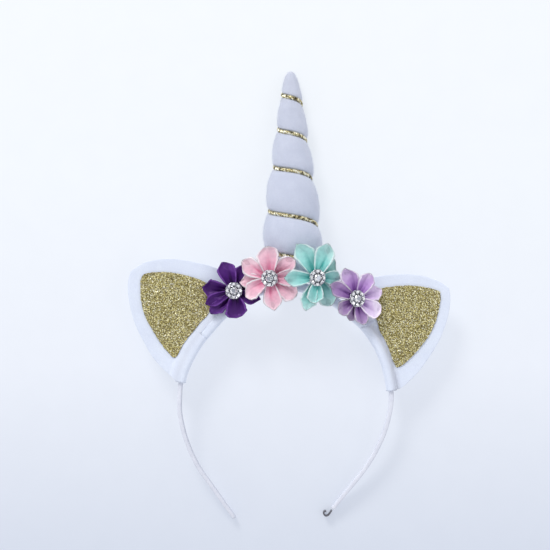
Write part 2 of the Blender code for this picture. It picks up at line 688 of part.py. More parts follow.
def build_petal(name, flower, petal, mat):
    """A pointed fold of ribbon with its rim raised and its inner end under the button."""
    reach = petal["reach"]
    half = min(6.3, 0.37 * reach)
    rows = [(3.0, 0.9), (0.42 * reach, 0.6 * half), (0.70 * reach, half),
            (0.85 * reach, 0.56 * half), (reach, 0.12)]
    a = math.radians(petal["angle"])
    bm = bmesh.new()
    front = []
    back = []
    for along, wide in rows:
        front_row = []
        back_row = []
        for s in (-1.0, -0.5, 0.5, 1.0):
            w = wide * s
            x = flower["x"] + along * math.cos(a) - w * math.sin(a)
            z = flower["z"] + along * math.sin(a) + w * math.cos(a)
            y = stack_back(flower, x, z) - (2 - petal["layer"]) * PETAL_STEP
            y -= PETAL_CUP * (along ** 2 + w ** 2) / 18.0 ** 2
            y -= PETAL_RIM * s * s * min(1.0, along / (0.7 * reach))
            front_row.append(bm.verts.new(Vector((x, y - PETAL_THICK, z)) * MM))
            back_row.append(bm.verts.new(Vector((x, y, z)) * MM))
        front.append(front_row)
        back.append(back_row)
    for r in range(len(rows) - 1):
        for c in range(3):
            bm.faces.new((front[r][c], front[r][c + 1], front[r + 1][c + 1], front[r + 1][c]))
            bm.faces.new((back[r][c], back[r + 1][c], back[r + 1][c + 1], back[r][c + 1]))
        for c in (0, 3):
            bm.faces.new((front[r][c], front[r + 1][c], back[r + 1][c], back[r][c]))
    for r in (0, len(rows) - 1):
        for c in range(3):
            bm.faces.new((front[r][c], front[r][c + 1], back[r][c + 1], back[r][c]))
    return make_object(name, bm, mat)


def button_frame(flower):
    """The button faces along the flower's own slope."""
    out = Vector((-flower["slope_x"], 1.0, -flower["slope_z"])).normalized() * -1
    across = Vector((0, 0, 1)).cross(out).normalized()
    up = out.cross(across)
    return out, across, up


def cut_stone(bm, middle, frame, sizes, count):
    """A round cut stone: a flat table above one or two rings of facets."""
    out, across, up = frame
    rings = []
    for size, level in sizes:
        ring = []
        for k in range(count):
            t = 2 * math.pi * k / count
            spot = middle + (across * math.cos(t) + up * math.sin(t)) * size + out * level
            ring.append(bm.verts.new(spot * MM))
        rings.append(ring)
    for a, b in zip(rings, rings[1:]):
        for k in range(count):
            m = (k + 1) % count
            bm.faces.new((a[k], a[m], b[m], b[k]))
    bm.faces.new(rings[0])
    bm.faces.new(list(reversed(rings[-1])))


def build_button(flower, metal, glass):
    """A metal cup on a shank, a ring of small stones fused to it and one large stone."""
    frame = button_frame(flower)
    out = frame[0]
    face = Vector((flower["x"], flower["back"] - 2 * PETAL_STEP - PETAL_THICK - GAP, flower["z"]))
    foot = Vector((flower["x"], flower["rest"], flower["z"])) + out * 0.0
    length = abs(face.y - foot.y)
    bm = bmesh.new()
    rings = []
    levels = ((-length, SHANK_RADIUS), (0.0, SHANK_RADIUS), (0.02, 4.3), (0.9, BUTTON_RADIUS),
              (1.5, 2.6))
    for level, size in levels:
        ring = []
        for k in range(CUP_SIDES):
            t = 2 * math.pi * k / CUP_SIDES
            spot = face + out * level + (frame[1] * math.cos(t) + frame[2] * math.sin(t)) * size
            if level < 0:
                spot = Vector((spot.x - out.x * level, foot.y, spot.z - out.z * level))
            ring.append(bm.verts.new(spot * MM))
        rings.append(ring)
    for a, b in zip(rings, rings[1:]):
        for k in range(CUP_SIDES):
            m = (k + 1) % CUP_SIDES
            bm.faces.new((a[k], a[m], b[m], b[k]))
    bm.faces.new(rings[0])
    bm.faces.new(list(reversed(rings[-1])))
    cup = make_object(flower["name"] + "_button_setting", bm, metal)
    stones = bmesh.new()
    for k in range(8):
        t = 2 * math.pi * k / 8
        lean = (frame[1] * math.cos(t) + frame[2] * math.sin(t))
        tilt = (out + lean * 0.35).normalized()
        across = frame[2].cross(tilt).normalized()
        middle = face + out * 0.75 + lean * 3.75
        cut_stone(stones, middle, (tilt, across, tilt.cross(across)), ((1.3, 0.0), (0.75, 1.5)), 8)
    ring_guide = make_object(flower["name"] + "_ring_stones", stones, metal, guide_collection, False)
    join = cup.modifiers.new("ring of stones", "BOOLEAN")
    join.operation = "UNION"
    join.solver = "EXACT"
    join.object = ring_guide
    bm = bmesh.new()
    cut_stone(bm, face + out * (1.5 + GAP), frame, ((2.1, 0.0), (2.2, 0.5), (1.25, 1.7)), 8)
    make_object(flower["name"] + "_centre_stone", bm, glass, smooth=False)


silver = material("silver_setting", (0.62, 0.62, 0.66), 0.2, 1.0)
crystal = material("crystal_stone", (0.85, 0.87, 0.92), 0.05)
for flower in FLOWERS:
    satin = material(flower["name"] + "_satin", flower["color"], 0.35)
    for index, petal in enumerate(PETALS[flower["name"]]):
        build_petal(f"{flower['name']}_petal_{index + 1}", flower, petal, satin)
    build_button(flower, silver, crystal)

# Laid on its back: the front turns up and the horn points along +Y
for obj in list(part_collection.objects) + list(guide_collection.objects):
    for vertex in obj.data.vertices:
        x, y, z = vertex.co
        vertex.co = (x, z, -y)
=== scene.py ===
# %% [markdown]
# # A unicorn horn headband
# The real thing is a thin steel hair band wound with satin ribbon. A felt sleeve covers its crown,
# two felt ears are folded round it, and a stuffed plush horn wound with gold cord stands on top.
# Four satin flowers with rhinestone buttons hide the joints. Each step below dresses one of those
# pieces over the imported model, which is loaded first and never moved.

import math

import bmesh
import bpy
import numpy as np
from mathutils import Matrix, Vector, noise
from mathutils.bvhtree import BVHTree


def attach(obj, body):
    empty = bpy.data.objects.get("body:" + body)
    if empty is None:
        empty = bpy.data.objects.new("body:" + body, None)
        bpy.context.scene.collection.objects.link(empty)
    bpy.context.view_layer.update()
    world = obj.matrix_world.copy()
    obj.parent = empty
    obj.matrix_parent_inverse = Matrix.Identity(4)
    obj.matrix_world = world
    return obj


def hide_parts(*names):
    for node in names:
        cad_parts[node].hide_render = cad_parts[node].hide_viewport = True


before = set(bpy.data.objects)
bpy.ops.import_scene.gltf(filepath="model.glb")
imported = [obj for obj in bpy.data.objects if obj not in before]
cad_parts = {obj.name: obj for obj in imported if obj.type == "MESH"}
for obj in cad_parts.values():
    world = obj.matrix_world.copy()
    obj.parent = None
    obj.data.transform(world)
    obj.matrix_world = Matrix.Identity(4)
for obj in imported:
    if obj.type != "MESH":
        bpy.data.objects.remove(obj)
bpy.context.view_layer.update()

# %% [markdown]
# ## One frame for every piece
# It is easiest to shape a headband as it is worn: X to the right, Z up and the front to -Y, in
# millimetres. The finished part lies on its back, on the horn and the band's two tips, so one
# function lays each shape down and turns it into metres. All meshes go through it.

# %% Laying down and making meshes
MM = 0.001
MERGE_REACH = 0.000004


def table(columns, *rows):
    """Rows of values as dictionaries with these column names."""
    return [dict(zip(columns.split(), row)) for row in rows]


def laid(points):
    """Worn coordinates in millimetres to the lying part in metres."""
    p = np.asarray(points, float).reshape(-1, 3)
    return np.column_stack((p[:, 0], p[:, 2], -p[:, 1])) * MM


def linked(name, data):
    """A new object for some data, linked to the scene."""
    obj = bpy.data.objects.new(name, data)
    bpy.context.scene.collection.objects.link(obj)
    return obj


def reworked(mesh, *edits):
    """Runs edits on a mesh, then turns its faces outwards."""
    bm = bmesh.new()
    bm.from_mesh(mesh)
    for edit in edits:
        edit(bm)
    bmesh.ops.recalc_face_normals(bm, faces=bm.faces)
    bm.to_mesh(mesh)
    bm.free()


def merging(reach):
    """An edit that merges points closer together than this."""
    return lambda bm: bmesh.ops.remove_doubles(bm, verts=bm.verts, dist=reach)


def make_piece(name, points, faces, mat, merge=False):
    """A smooth mesh object at the origin; with merge its doubles go and its faces turn outwards."""
    mesh = bpy.data.meshes.new(name)
    mesh.from_pydata(laid(points).tolist(), [], [list(f) for f in faces])
    if merge:
        reworked(mesh, merging(MERGE_REACH))
    mesh.materials.append(mat)
    mesh.shade_smooth()
    return linked(name, mesh)


def store(mesh, name, values, domain="POINT"):
    """Stores a number for each point or face under a name that a material reads."""
    mesh.attributes.new(name, "FLOAT", domain).data.foreach_set("value", values)


def store_uv(mesh, name, uv):
    """A UV layer from a pair of numbers for each point."""
    corners = np.empty(len(mesh.loops), int)
    mesh.loops.foreach_get("vertex_index", corners)
    mesh.uv_layers.new(name=name).data.foreach_set("uv", uv[corners].ravel())


def grid_faces(columns, rows, offset=0, close_rows=False):
    """Quads over a grid of points numbered column by column."""
    faces = []
    for c in range(columns - 1):
        here, there = offset + c * rows, offset + (c + 1) * rows
        for r in range(rows if close_rows else rows - 1):
            s = (r + 1) % rows
            faces.append((here + r, there + r, there + s, here + s))
    return faces


def half_area(obj):
    """Half of a closed mesh's surface in square metres, which is a thin cloth's area."""
    return sum(p.area for p in obj.data.polygons) / 2


# %% [markdown]
# ## Camera
# The photo looks straight at the front from a little below the middle, so the camera hangs above the
# lying headband with the horn pointing up in the picture. A long lens 790 mm away frames 333 mm.

# %% Camera
lens_height = 790.0
CAMERA_X, CAMERA_Y, AIM_Y = -0.0067, -0.035, 0.0097
camera_data = bpy.data.cameras.new("camera")
camera_data.lens = 85.5
camera_data.sensor_width = 36
camera_data.clip_end = 20
camera = linked("camera", camera_data)
camera.location = (CAMERA_X, CAMERA_Y, lens_height * MM)
aim = Vector((CAMERA_X, AIM_Y, 0.0)) - camera.location
camera.rotation_mode = "QUATERNION"
camera.rotation_quaternion = aim.to_track_quat("-Z", "Y")
bpy.context.scene.camera = camera
pitch = math.degrees(math.atan2(aim.y, -aim.z))
print("camera pitch off straight down:", round(pitch, 2), "degrees")

# %% [markdown]
# ## Helpers for materials
# Every finish below is a small tree of nodes, and a few short helpers keep the trees readable. They
# add a node and fill its sockets, start a material with its Principled shader, and make the noise,
# colour ramps, mixes and bumps that most finishes share.


# %% Node helpers
def add_node(tree, kind, settings=None, **sockets):
    """A node of a kind, with properties set by name and sockets filled with values or linked."""
    node = tree.nodes.new(kind)
    for key, value in (settings or {}).items():
        setattr(node, key, value)
    for key, value in sockets.items():
        name = key.replace("_", " ")
        numbered = name[0] == "i" and name[1:].isdigit()
        socket = node.inputs[int(name[1:]) if numbered else name]
        if isinstance(value, bpy.types.NodeSocket):
            tree.links.new(value, socket)
        else:
            socket.default_value = value
    return node


def start_material(name, roughness, **sockets):
    """A material with one Principled shader whose steady values sit on its own sockets."""
    mat = bpy.data.materials.new(name)
    mat.use_nodes = True
    tree = mat.node_tree
    shader = tree.nodes["Principled BSDF"]
    shader.inputs["Roughness"].default_value = roughness
    for key, value in sockets.items():
        shader.inputs[key.replace("_", " ")].default_value = value
    return mat, tree, shader


def object_coordinates(tree):
    """Object coordinates in metres through a Mapping node."""
    where = add_node(tree, "ShaderNodeTexCoord")
    return add_node(tree, "ShaderNodeMapping", Vector=where.outputs["Object"]).outputs["Vector"]


def cloudy(tree, place, scale, detail, roughness=0.5):
    """Noise from 0 to 1, with this many features a metre."""
    return add_node(tree, "ShaderNodeTexNoise", Vector=place, Scale=scale, Detail=detail,
                    Roughness=roughness).outputs["Fac"]


def stored(tree, name):
    """A number stored on the mesh."""
    return add_node(tree, "ShaderNodeAttribute", {"attribute_name": name}).outputs["Fac"]


def worked_out(tree, operation, first, second):
    """The result of a sum on two numbers."""
    return add_node(tree, "ShaderNodeMath", {"operation": operation}, i0=first, i1=second).outputs[0]


def ramp(tree, factor, stops):
    """A colour ramp through (position, (r, g, b)) stops."""
    node = add_node(tree, "ShaderNodeValToRGB", Fac=factor)
    band = node.color_ramp
    while len(band.elements) < len(stops):
        band.elements.new(0.5)
    for element, (place, color) in zip(band.elements, stops):
        element.position = place
        element.color = (*color, 1.0)
    return node.outputs["Color"]


def mixed(tree, factor, first, second, blend="MIX"):
    """Two colours mixed, multiplied or screened by a factor."""
    node = add_node(tree, "ShaderNodeMix", {"data_type": "RGBA", "blend_type": blend})
    for index, value in ((0, factor), (6, first), (7, second)):
        if isinstance(value, bpy.types.NodeSocket):
            tree.links.new(value, node.inputs[index])
        elif isinstance(value, tuple):
            node.inputs[index].default_value = (*value, 1.0)
        else:
            node.inputs[index].default_value = value
    return node.outputs[2]


def painted(tree, shader, color):
    """Gives the shader its colour."""
    tree.links.new(color, shader.inputs["Base Color"])


def bumped(tree, shader, height, strength, distance, below=None):
    """A bump on the shader's normal, above another bump where one is given."""
    node = add_node(tree, "ShaderNodeBump", Height=height, Strength=strength, Distance=distance)
    if below is not None:
        tree.links.new(below, node.inputs["Normal"])
    tree.links.new(node.outputs["Normal"], shader.inputs["Normal"])
    return node.outputs["Normal"]


# %% [markdown]
# ## Felt and plush
# Felt is a mat of pressed fibres: it has no weave, a dull soft surface and faint clouds of colour.
# Plush is the same white but with a short pile, so light catches its edges. Both get three scales
# of noise: broad clouds in the colour, a lumpy surface, and a fine nap in the bump. Painted shade
# is added where the mesh stores it, on the upper horn and in the ears' creases: the finish is
# mixed that far to grey.


# %% Felt and plush materials
def nap_material(name, light, dark, cloud_scale, nap_scale, nap_depth, sheen):
    """Pressed or piled fibres, mixed toward grey where the mesh stores painted shade."""
    mat, tree, shader = start_material(name, 0.92, Sheen_Weight=sheen, Sheen_Roughness=0.45,
                                       Specular_IOR_Level=0.25)
    place = object_coordinates(tree)
    cloud = cloudy(tree, place, cloud_scale, 4.0, 0.6)
    fibre = cloudy(tree, place, nap_scale, 6.0, 0.75)
    color = ramp(tree, cloud, [(0.3, dark), (0.7, light)])
    speck = ramp(tree, fibre, [(0.25, (0.86, 0.86, 0.89)), (0.6, (1.0, 1.0, 1.0))])
    color = mixed(tree, 1.0, color, speck, "MULTIPLY")
    # Painted shade: the colour is mixed toward grey by the stored amount.
    color = mixed(tree, stored(tree, "painted_shade"), color, (0.50, 0.51, 0.58))
    painted(tree, shader, color)
    lumps = bumped(tree, shader, cloud, 0.35, 0.0008)
    bumped(tree, shader, fibre, 0.6, nap_depth, lumps)
    return mat


felt_white = nap_material("felt_white", light=(0.83, 0.89, 1.0), dark=(0.79, 0.85, 0.98),
                          cloud_scale=140, nap_scale=3200, nap_depth=0.00018, sheen=0.3)
plush_white = nap_material("horn_plush", light=(0.655, 0.695, 0.81), dark=(0.60, 0.64, 0.76),
                           cloud_scale=110, nap_scale=2400, nap_depth=0.0003, sheen=0.4)
fibre_white, tree, shader = start_material("loose_fibres", 0.85, Specular_IOR_Level=0.2)
cloud = cloudy(tree, object_coordinates(tree), 900.0, 2.0)
painted(tree, shader, ramp(tree, cloud, [(0.3, (0.60, 0.64, 0.76)), (0.7, (0.74, 0.78, 0.90))]))
print("soft finishes:", felt_white.name, plush_white.name, fibre_white.name)

# %% [markdown]
# ## Curves read from short tables
# The horn swells between the turns of its cord, and both follow a few measured heights and radii.
# A monotone cubic goes smoothly through a short table without ever overshooting it, so a bulge
# never gets a false dent. It works on whole arrays at once, which keeps thousands of points quick.


# %% Smooth curves
def eased(table, key, column):
    """A function that reads a column smoothly at any array of key values."""
    rows = sorted(table, key=lambda row: row[key])
    xs = np.array([row[key] for row in rows], float)
    ys = np.array([row[column] for row in rows], float)
    secant = np.diff(ys) / np.diff(xs)
    slope = np.zeros(len(xs))
    slope[0], slope[-1] = secant[0], secant[-1]
    product = secant[:-1] * secant[1:]
    total = np.where(product > 0, secant[:-1] + secant[1:], 1.0)
    slope[1:-1] = np.where(product > 0, 2 * product / total, 0.0)

    def read(value):
        v = np.clip(np.asarray(value, float), xs[0], xs[-1])
        i = np.clip(np.searchsorted(xs, v, side="left") - 1, 0, len(xs) - 2)
        h = xs[i + 1] - xs[i]
        t = (v - xs[i]) / h
        return (ys[i] * (2 * t ** 3 - 3 * t ** 2 + 1) + h * slope[i] * (t ** 3 - 2 * t ** 2 + t)
                + ys[i + 1] * (3 * t ** 2 - 2 * t ** 3) + h * slope[i + 1] * (t ** 3 - t ** 2))

    return read


def smooth_points(points, count):
    """An even row of points along a smooth curve through the given ones."""
    pts = [2 * points[0] - points[1], *points, 2 * points[-1] - points[-2]]
    fine = []
    for i in range(1, len(pts) - 2):
        p0, p1, p2, p3 = pts[i - 1:i + 3]
        for k in range(16):
            t = k / 16
            fine.append(0.5 * (2 * p1 + (p2 - p0) * t + (2 * p0 - 5 * p1 + 4 * p2 - p3) * t * t
                               + (3 * p1 - p0 - 3 * p2 + p3) * t ** 3))
    fine.append(points[-1].copy())
    return even_points(fine, count)


def even_points(points, count):
    """The same line resampled to an even step."""
    p = np.array([tuple(v) for v in points], float)
    run = np.concatenate(([0.0], np.cumsum(np.linalg.norm(np.diff(p, axis=0), axis=1))))
    want = np.linspace(0.0, run[-1], count)
    return [Vector([float(np.interp(w, run, p[:, k])) for k in range(3)]) for w in want]


# %% [markdown]
# ## The stuffed horn
# On the real horn a cone of plush is filled firmly, and the cord is then pulled tight round it, so
# the filling swells between the turns. A cone with rings wouldn't show that. Here the skin is a
# grid wound like the cord itself: each strip runs from one turn's groove to the next, and every
# column of points sits at its own height, so the groove follows the cord exactly.

# %% Horn tables
TIP_Z = 134.3
BASE_Z = 6.1
CORD_RADIUS = 1.1
CORD_HEIGHTS = table(
    "turn z groove",
    (-2.0, 134.3, 0.0), (-1.0, 134.3, 0.0), (-0.5, 129.3, 0.0), (-0.35, 126.4, 1.0),
    (0.0, 119.9, 1.0), (0.5, 114.1, 1.0), (1.0, 98.6, 1.0), (1.5, 91.3, 1.0), (2.0, 75.4, 1.0),
    (2.5, 68.0, 1.0), (3.0, 48.7, 1.0), (3.5, 39.5, 1.0), (4.0, 24.2, 1.0), (4.5, 15.2, 1.0),
    (4.7, 11.6, 1.0), (4.85, 8.9, 0.0), (5.0, 6.1, 0.0), (6.0, 6.1, 0.0),
)
HORN_RADII = table(
    "z bulge cord",
    (6.1, 15.0, 13.0), (12.0, 16.2, 14.2), (18.0, 17.4, 15.0), (25.0, 17.9, 15.2),
    (31.0, 17.9, 14.9), (44.3, 17.0, 14.0), (55.8, 15.8, 12.9), (71.6, 13.9, 10.8),
    (80.0, 12.3, 9.7), (94.7, 10.4, 8.0), (104.4, 8.8, 6.9), (117.0, 6.9, 5.5), (125.0, 5.1, 4.0),
    (129.0, 4.0, 3.0), (132.0, 2.7, 1.6), (133.6, 1.5, 0.6), (134.3, 0.0, 0.0),
)
turn_height = eased(CORD_HEIGHTS, "turn", "z")
bulge_radius = eased(HORN_RADII, "z", "bulge")
seat_radius = eased(HORN_RADII, "z", "cord")
turns_listed = [row["turn"] for row in CORD_HEIGHTS]
grooves_listed = [row["groove"] for row in CORD_HEIGHTS]


def lean_back(x, y, z):
    """The horn leans back above the flowers, so that its back lies level on the floor."""
    lean = 0.0268 * np.maximum(0.0, z - 30.0) ** 1.35
    grow = 1 + lean / lens_height
    return np.stack(((x + 6.7) * grow - 6.7, y * grow + lean, (z + 35) * grow - 35), axis=-1)


def horn_axis(z):
    """Sideways place of the horn's middle at a height."""
    return 4.2 - 1.2 * np.clip(z / TIP_Z, 0.0, 1.0)


# %% Horn skin
HORN_COLUMNS_A_TURN = 110
HORN_ROWS = 34
GROOVE_REACH = 1.25
FAR_FROM_CORD = 99.0


def steepness(turn):
    """How much taller than wide the groove's section is where the cord climbs steeply."""
    rise = (turn_height(turn - 0.02) - turn_height(turn + 0.02)) / (0.04 * 2 * math.pi)
    return np.sqrt(1 + (rise / np.maximum(seat_radius(turn_height(turn)), 1.0)) ** 2)


def horn_points():
    """The skin's grid, in at the cord, swelling between its turns and gathered beside it."""
    turn = np.linspace(-2.0, 5.0, 7 * HORN_COLUMNS_A_TURN + 1)[:, None]
    share = np.linspace(0.0, 1.0, HORN_ROWS)[None, :]
    share = 0.45 * share + 0.55 * (0.5 - 0.5 * np.cos(math.pi * share))
    top, bottom = turn_height(turn), turn_height(turn + 1)
    pitch = top - bottom
    drop = pitch * share
    z = top - drop
    full = bulge_radius(z)
    radius = full.copy()
    groove_at = [np.interp(turn + below, turns_listed, grooves_listed) for below in (0, 1)]
    near = np.full(z.shape, FAR_FROM_CORD)
    for distance, weight, height in ((drop / steepness(turn), groove_at[0], top),
                                     ((pitch - drop) / steepness(turn + 1), groove_at[1], bottom)):
        seat = seat_radius(height)
        inside = seat - np.sqrt(np.maximum(0.0, (CORD_RADIUS + 0.25) ** 2 - distance ** 2))
        rise = np.clip((distance - GROOVE_REACH) / np.maximum(0.42 * pitch, 3.0), 0.0, 1.0)
        swell = seat + (full - seat) * np.sqrt(np.maximum(0.0, 1 - (1 - rise) ** 2)) + 0.05
        value = np.where(distance < GROOVE_REACH, inside, swell)
        value = full + (value - full) * weight
        radius = np.where(weight > 0, np.minimum(radius, value), radius)
        near = np.where(weight > 0, np.minimum(near, distance), near)
    angle = math.pi + 2 * math.pi * turn
    ripple = np.sin(angle * 23 + 1.7 * np.sin(angle * 5.3))
    gather = 0.16 * np.exp(-((near - 2.6) / 1.8) ** 2) * ripple
    radius = radius + gather * np.clip(full / 10, 0, 1)
    x = horn_axis(z) + radius * np.cos(angle)
    y = radius * np.sin(angle)
    saddle = -(x * x) / 190.0 * np.maximum(0.0, 1 - np.abs(y) / 14)
    fade = np.maximum(0.0, 1 - (z - BASE_Z) / 6)
    soft = np.clip((near - 1.6) / 4.0, 0.0, 1.0) * np.clip((z - 12) / 6, 0.0, 1.0)
    points = lean_back(x, y, z + saddle * fade)
    axis = lean_back(horn_axis(z) + 0 * z, 0 * z, z)
    for c in range(points.shape[0]):
        for r in range(points.shape[1]):
            if soft[c, r] > 0:
                p = points[c, r]
                lump = noise.noise(Vector(p * 0.11)) * 0.55 + noise.noise(Vector(p * 0.33)) * 0.16
                away = p - axis[c, r]
                points[c, r] = p + away / max(np.linalg.norm(away), 0.1) * lump * soft[c, r] * 0.55
    return points


horn_grid = horn_points()
horn = make_piece("plush_horn", horn_grid, grid_faces(*horn_grid.shape[:2]), plush_white,
                  merge=True)
reworked(horn.data,
         lambda bm: bmesh.ops.dissolve_degenerate(bm, edges=bm.edges, dist=0.000003),
         lambda bm: bmesh.ops.holes_fill(bm, edges=[e for e in bm.edges if e.is_boundary], sides=0))
horn.data.shade_smooth()
# Painted shade on the horn: none below 30 mm, growing greyer toward the tip.
heights = np.array([v.co.y for v in horn.data.vertices])
store(horn.data, "painted_shade", 0.34 * np.clip((heights - 0.03) / 0.10, 0, 1) ** 1.2)
print("horn faces:", len(horn.data.polygons))

# %% [markdown]
# ## Geometry Nodes: building and baking a tree
# What repeats or follows a path is made by Geometry Nodes. A tree is built here in script with named
# inputs. The modifier's inputs are set by their identifiers before anything is evaluated, and the
# result is baked to a plain mesh, so nothing live is left on the piece.


# %% Tree and bake helpers
def start_tree(name, inputs):
    """A node group with a Geometry input, the named inputs, and a Geometry output."""
    tree = bpy.data.node_groups.new(name, "GeometryNodeTree")
    tree.interface.new_socket("Geometry", in_out="INPUT", socket_type="NodeSocketGeometry")
    for label, kind in inputs:
        tree.interface.new_socket(label, in_out="INPUT", socket_type=kind)
    tree.interface.new_socket("Geometry", in_out="OUTPUT", socket_type="NodeSocketGeometry")
    return tree, tree.nodes.new("NodeGroupInput").outputs, tree.nodes.new("NodeGroupOutput").inputs


def finish_tree(tree, ends, geometry, mat):
    """Ends a tree in Realize Instances and Set Material."""
    real = add_node(tree, "GeometryNodeRealizeInstances", Geometry=geometry)
    dressed = add_node(tree, "GeometryNodeSetMaterial", Geometry=real.outputs["Geometry"],
                       Material=mat)
    tree.links.new(dressed.outputs["Geometry"], ends["Geometry"])


def random_number(tree, low, high, seed):
    """A random number between two values for each point."""
    node = add_node(tree, "FunctionNodeRandomValue", {"data_type": "FLOAT"}, Seed=seed)
    node.inputs[2].default_value, node.inputs[3].default_value = low, high
    return node.outputs[1]


def grown(name, source, tree, values, keep_source=True):
    """A new plain mesh object: the source mesh put through a tree with these values."""
    modifier = source.modifiers.new("grow", "NODES")
    modifier.node_group = tree
    for item in tree.interface.items_tree:
        if item.item_type == "SOCKET" and item.in_out == "INPUT" and item.name in values:
            modifier[item.identifier] = values[item.name]
    graph = bpy.context.evaluated_depsgraph_get()
    mesh = bpy.data.meshes.new_from_object(source.evaluated_get(graph))
    source.modifiers.remove(modifier)
    mesh.name = name
    if not keep_source:
        bpy.data.objects.remove(source)
    return linked(name, mesh)


# %% [markdown]
# ## The gold cord
# The cord is three strands of metal foil yarn twisted together. Part of its look comes from the
# strands: each is a little mirror that turns from bright to dark as it rolls over. The rest is
# painted: near-black patches and near-white glints in the foil's colour are painted reflections,
# and a paler gold at grazing edges is a painted highlight. The tree sweeps a profile of three
# circles along the groove's line and tilts it steadily, which is exactly what twisting does.

# %% Gold foil
gold_foil, tree, shader = start_material("gold_cord", 0.30, Metallic=0.7)
place = object_coordinates(tree)
# Painted reflections: noise gives the foil near-black patches and near-white glints.
gold_with_painted_glints = ramp(tree, cloudy(tree, place, 480.0, 2.0, 0.6), [
    (0.42, (0.030, 0.022, 0.008)), (0.47, (0.34, 0.27, 0.11)),
    (0.53, (0.95, 0.86, 0.50)), (0.60, (1.0, 1.0, 0.92))])
# Painted highlight: a paler gold is mixed in at grazing edges.
painted_edge_highlight = add_node(tree, "ShaderNodeLayerWeight", Blend=0.5)
edge = ramp(tree, painted_edge_highlight.outputs["Facing"], [(0.30, (0.0, 0.0, 0.0)), (0.72, (1.0, 1.0, 1.0))])
painted(tree, shader, mixed(tree, edge, gold_with_painted_glints, (1.0, 0.95, 0.70)))
bumped(tree, shader, cloudy(tree, place, 2600.0, 2.0), 0.5, 0.00012)

# %% Twisted cord
CORD_FROM, CORD_TO = -0.3, 4.65
TWIST_LENGTH = 4.6
cord_turns = np.linspace(CORD_FROM, CORD_TO, 1300)
cord_z = turn_height(cord_turns)
cord_angle = math.pi + 2 * math.pi * cord_turns
cord_line = lean_back(horn_axis(cord_z) + seat_radius(cord_z) * np.cos(cord_angle),
                      seat_radius(cord_z) * np.sin(cord_angle), cord_z)
cord_length = float(np.linalg.norm(np.diff(cord_line, axis=0), axis=1).sum())
line_mesh = bpy.data.meshes.new("cord_line")
line_mesh.from_pydata(laid(cord_line).tolist(), [(i, i + 1) for i in range(len(cord_line) - 1)], [])
line_obj = linked("cord_line", line_mesh)

tree, given, ends = start_tree("twisted_cord", [
    ("Strand Radius", "NodeSocketFloat"), ("Strand Offset", "NodeSocketFloat"),
    ("Twists", "NodeSocketFloat"), ("Material", "NodeSocketMaterial")])
path_curve = add_node(tree, "GeometryNodeMeshToCurve", Mesh=given["Geometry"])
along = add_node(tree, "GeometryNodeSplineParameter")
turned = worked_out(tree, "MULTIPLY", along.outputs["Factor"], given["Twists"])
radians = worked_out(tree, "MULTIPLY", turned, 2 * math.pi)
tilted = add_node(tree, "GeometryNodeSetCurveTilt", Curve=path_curve.outputs["Curve"], Tilt=radians)
strand = add_node(tree, "GeometryNodeCurvePrimitiveCircle", Resolution=9,
                  Radius=given["Strand Radius"])
centres = add_node(tree, "GeometryNodeMeshCircle", Vertices=3, Radius=given["Strand Offset"])
three = add_node(tree, "GeometryNodeInstanceOnPoints", Points=centres.outputs["Mesh"],
                 Instance=strand.outputs["Curve"])
profile = add_node(tree, "GeometryNodeRealizeInstances", Geometry=three.outputs["Instances"])
swept = add_node(tree, "GeometryNodeCurveToMesh", Curve=tilted.outputs["Curve"],
                 Profile_Curve=profile.outputs["Geometry"])
swept.inputs["Fill Caps"].default_value = True
smooth = add_node(tree, "GeometryNodeSetShadeSmooth", Geometry=swept.outputs["Mesh"])
finish_tree(tree, ends, smooth.outputs["Geometry"], given["Material"])
gold_cord = grown("twisted_gold_cord", line_obj, tree, {
    "Strand Radius": 0.66 * MM, "Strand Offset": 0.62 * MM, "Twists": cord_length / TWIST_LENGTH,
    "Material": gold_foil}, keep_source=False)
print("cord length on the horn in mm:", round(cord_length), "faces:", len(gold_cord.data.polygons))

# %% [markdown]
# ## The line of the band
# Everything soft hangs on one spring steel strip, so its centre line comes first. A smooth curve
# through a short table is resampled to even points, and each point gets an outward direction and a
# sideways one. Any section can then be carried along it at any fraction of a step.

# %% Band line and frames
GAP = 0.3
BAND_THICK = 2.7
BAND_WIDE = 6.5
FELT_WALL = 1.2
LEAF_THICK = 2.4
TUNNEL_HALF = BAND_THICK / 2 + GAP
TUNNEL_DEEP = BAND_WIDE / 2 + GAP
WRAP_HALF = TUNNEL_HALF + FELT_WALL
WRAP_DEEP = TUNNEL_DEEP + FELT_WALL
BAND_POINTS = 241
LAST_STATION = BAND_POINTS - 1
CROWN_FIRST, CROWN_LAST = 40, 199
BAND = table(
    "x y z",
    (-31.4, 15.2, -138.0), (-44.2, 10.5, -119.5), (-53.7, 7.2, -105.3), (-60.4, 3.9, -89.8),
    (-63.7, 1.7, -76.0), (-64.2, 0.7, -67.3), (-63.4, 0.0, -55.0), (-60.3, 0.0, -44.9),
    (-54.0, 0.0, -33.1), (-47.0, 0.0, -24.0), (-37.3, 0.0, -13.6), (-22.9, 0.0, -2.6),
    (0.0, 0.0, 2.85), (22.9, 0.0, -2.6), (43.3, 0.0, -17.6), (52.7, 0.0, -28.6),
    (58.7, 0.0, -40.4), (62.4, 0.0, -54.3), (63.3, 0.7, -66.5), (60.6, 2.5, -80.8),
    (56.2, 4.6, -92.6), (50.3, 6.9, -103.5), (43.5, 9.3, -113.2), (35.5, 12.1, -123.2),
    (28.25, 14.7, -132.6),
)


def spot_of(row):
    """The place that a row of a table names."""
    return Vector((row["x"], row.get("y", 0.0), row["z"]))


def at_station(station, values):
    """Rows of an array over the band's points, read at fractional stations."""
    return np.stack([np.interp(station, range(BAND_POINTS), values[:, k]) for k in range(3)], axis=-1)


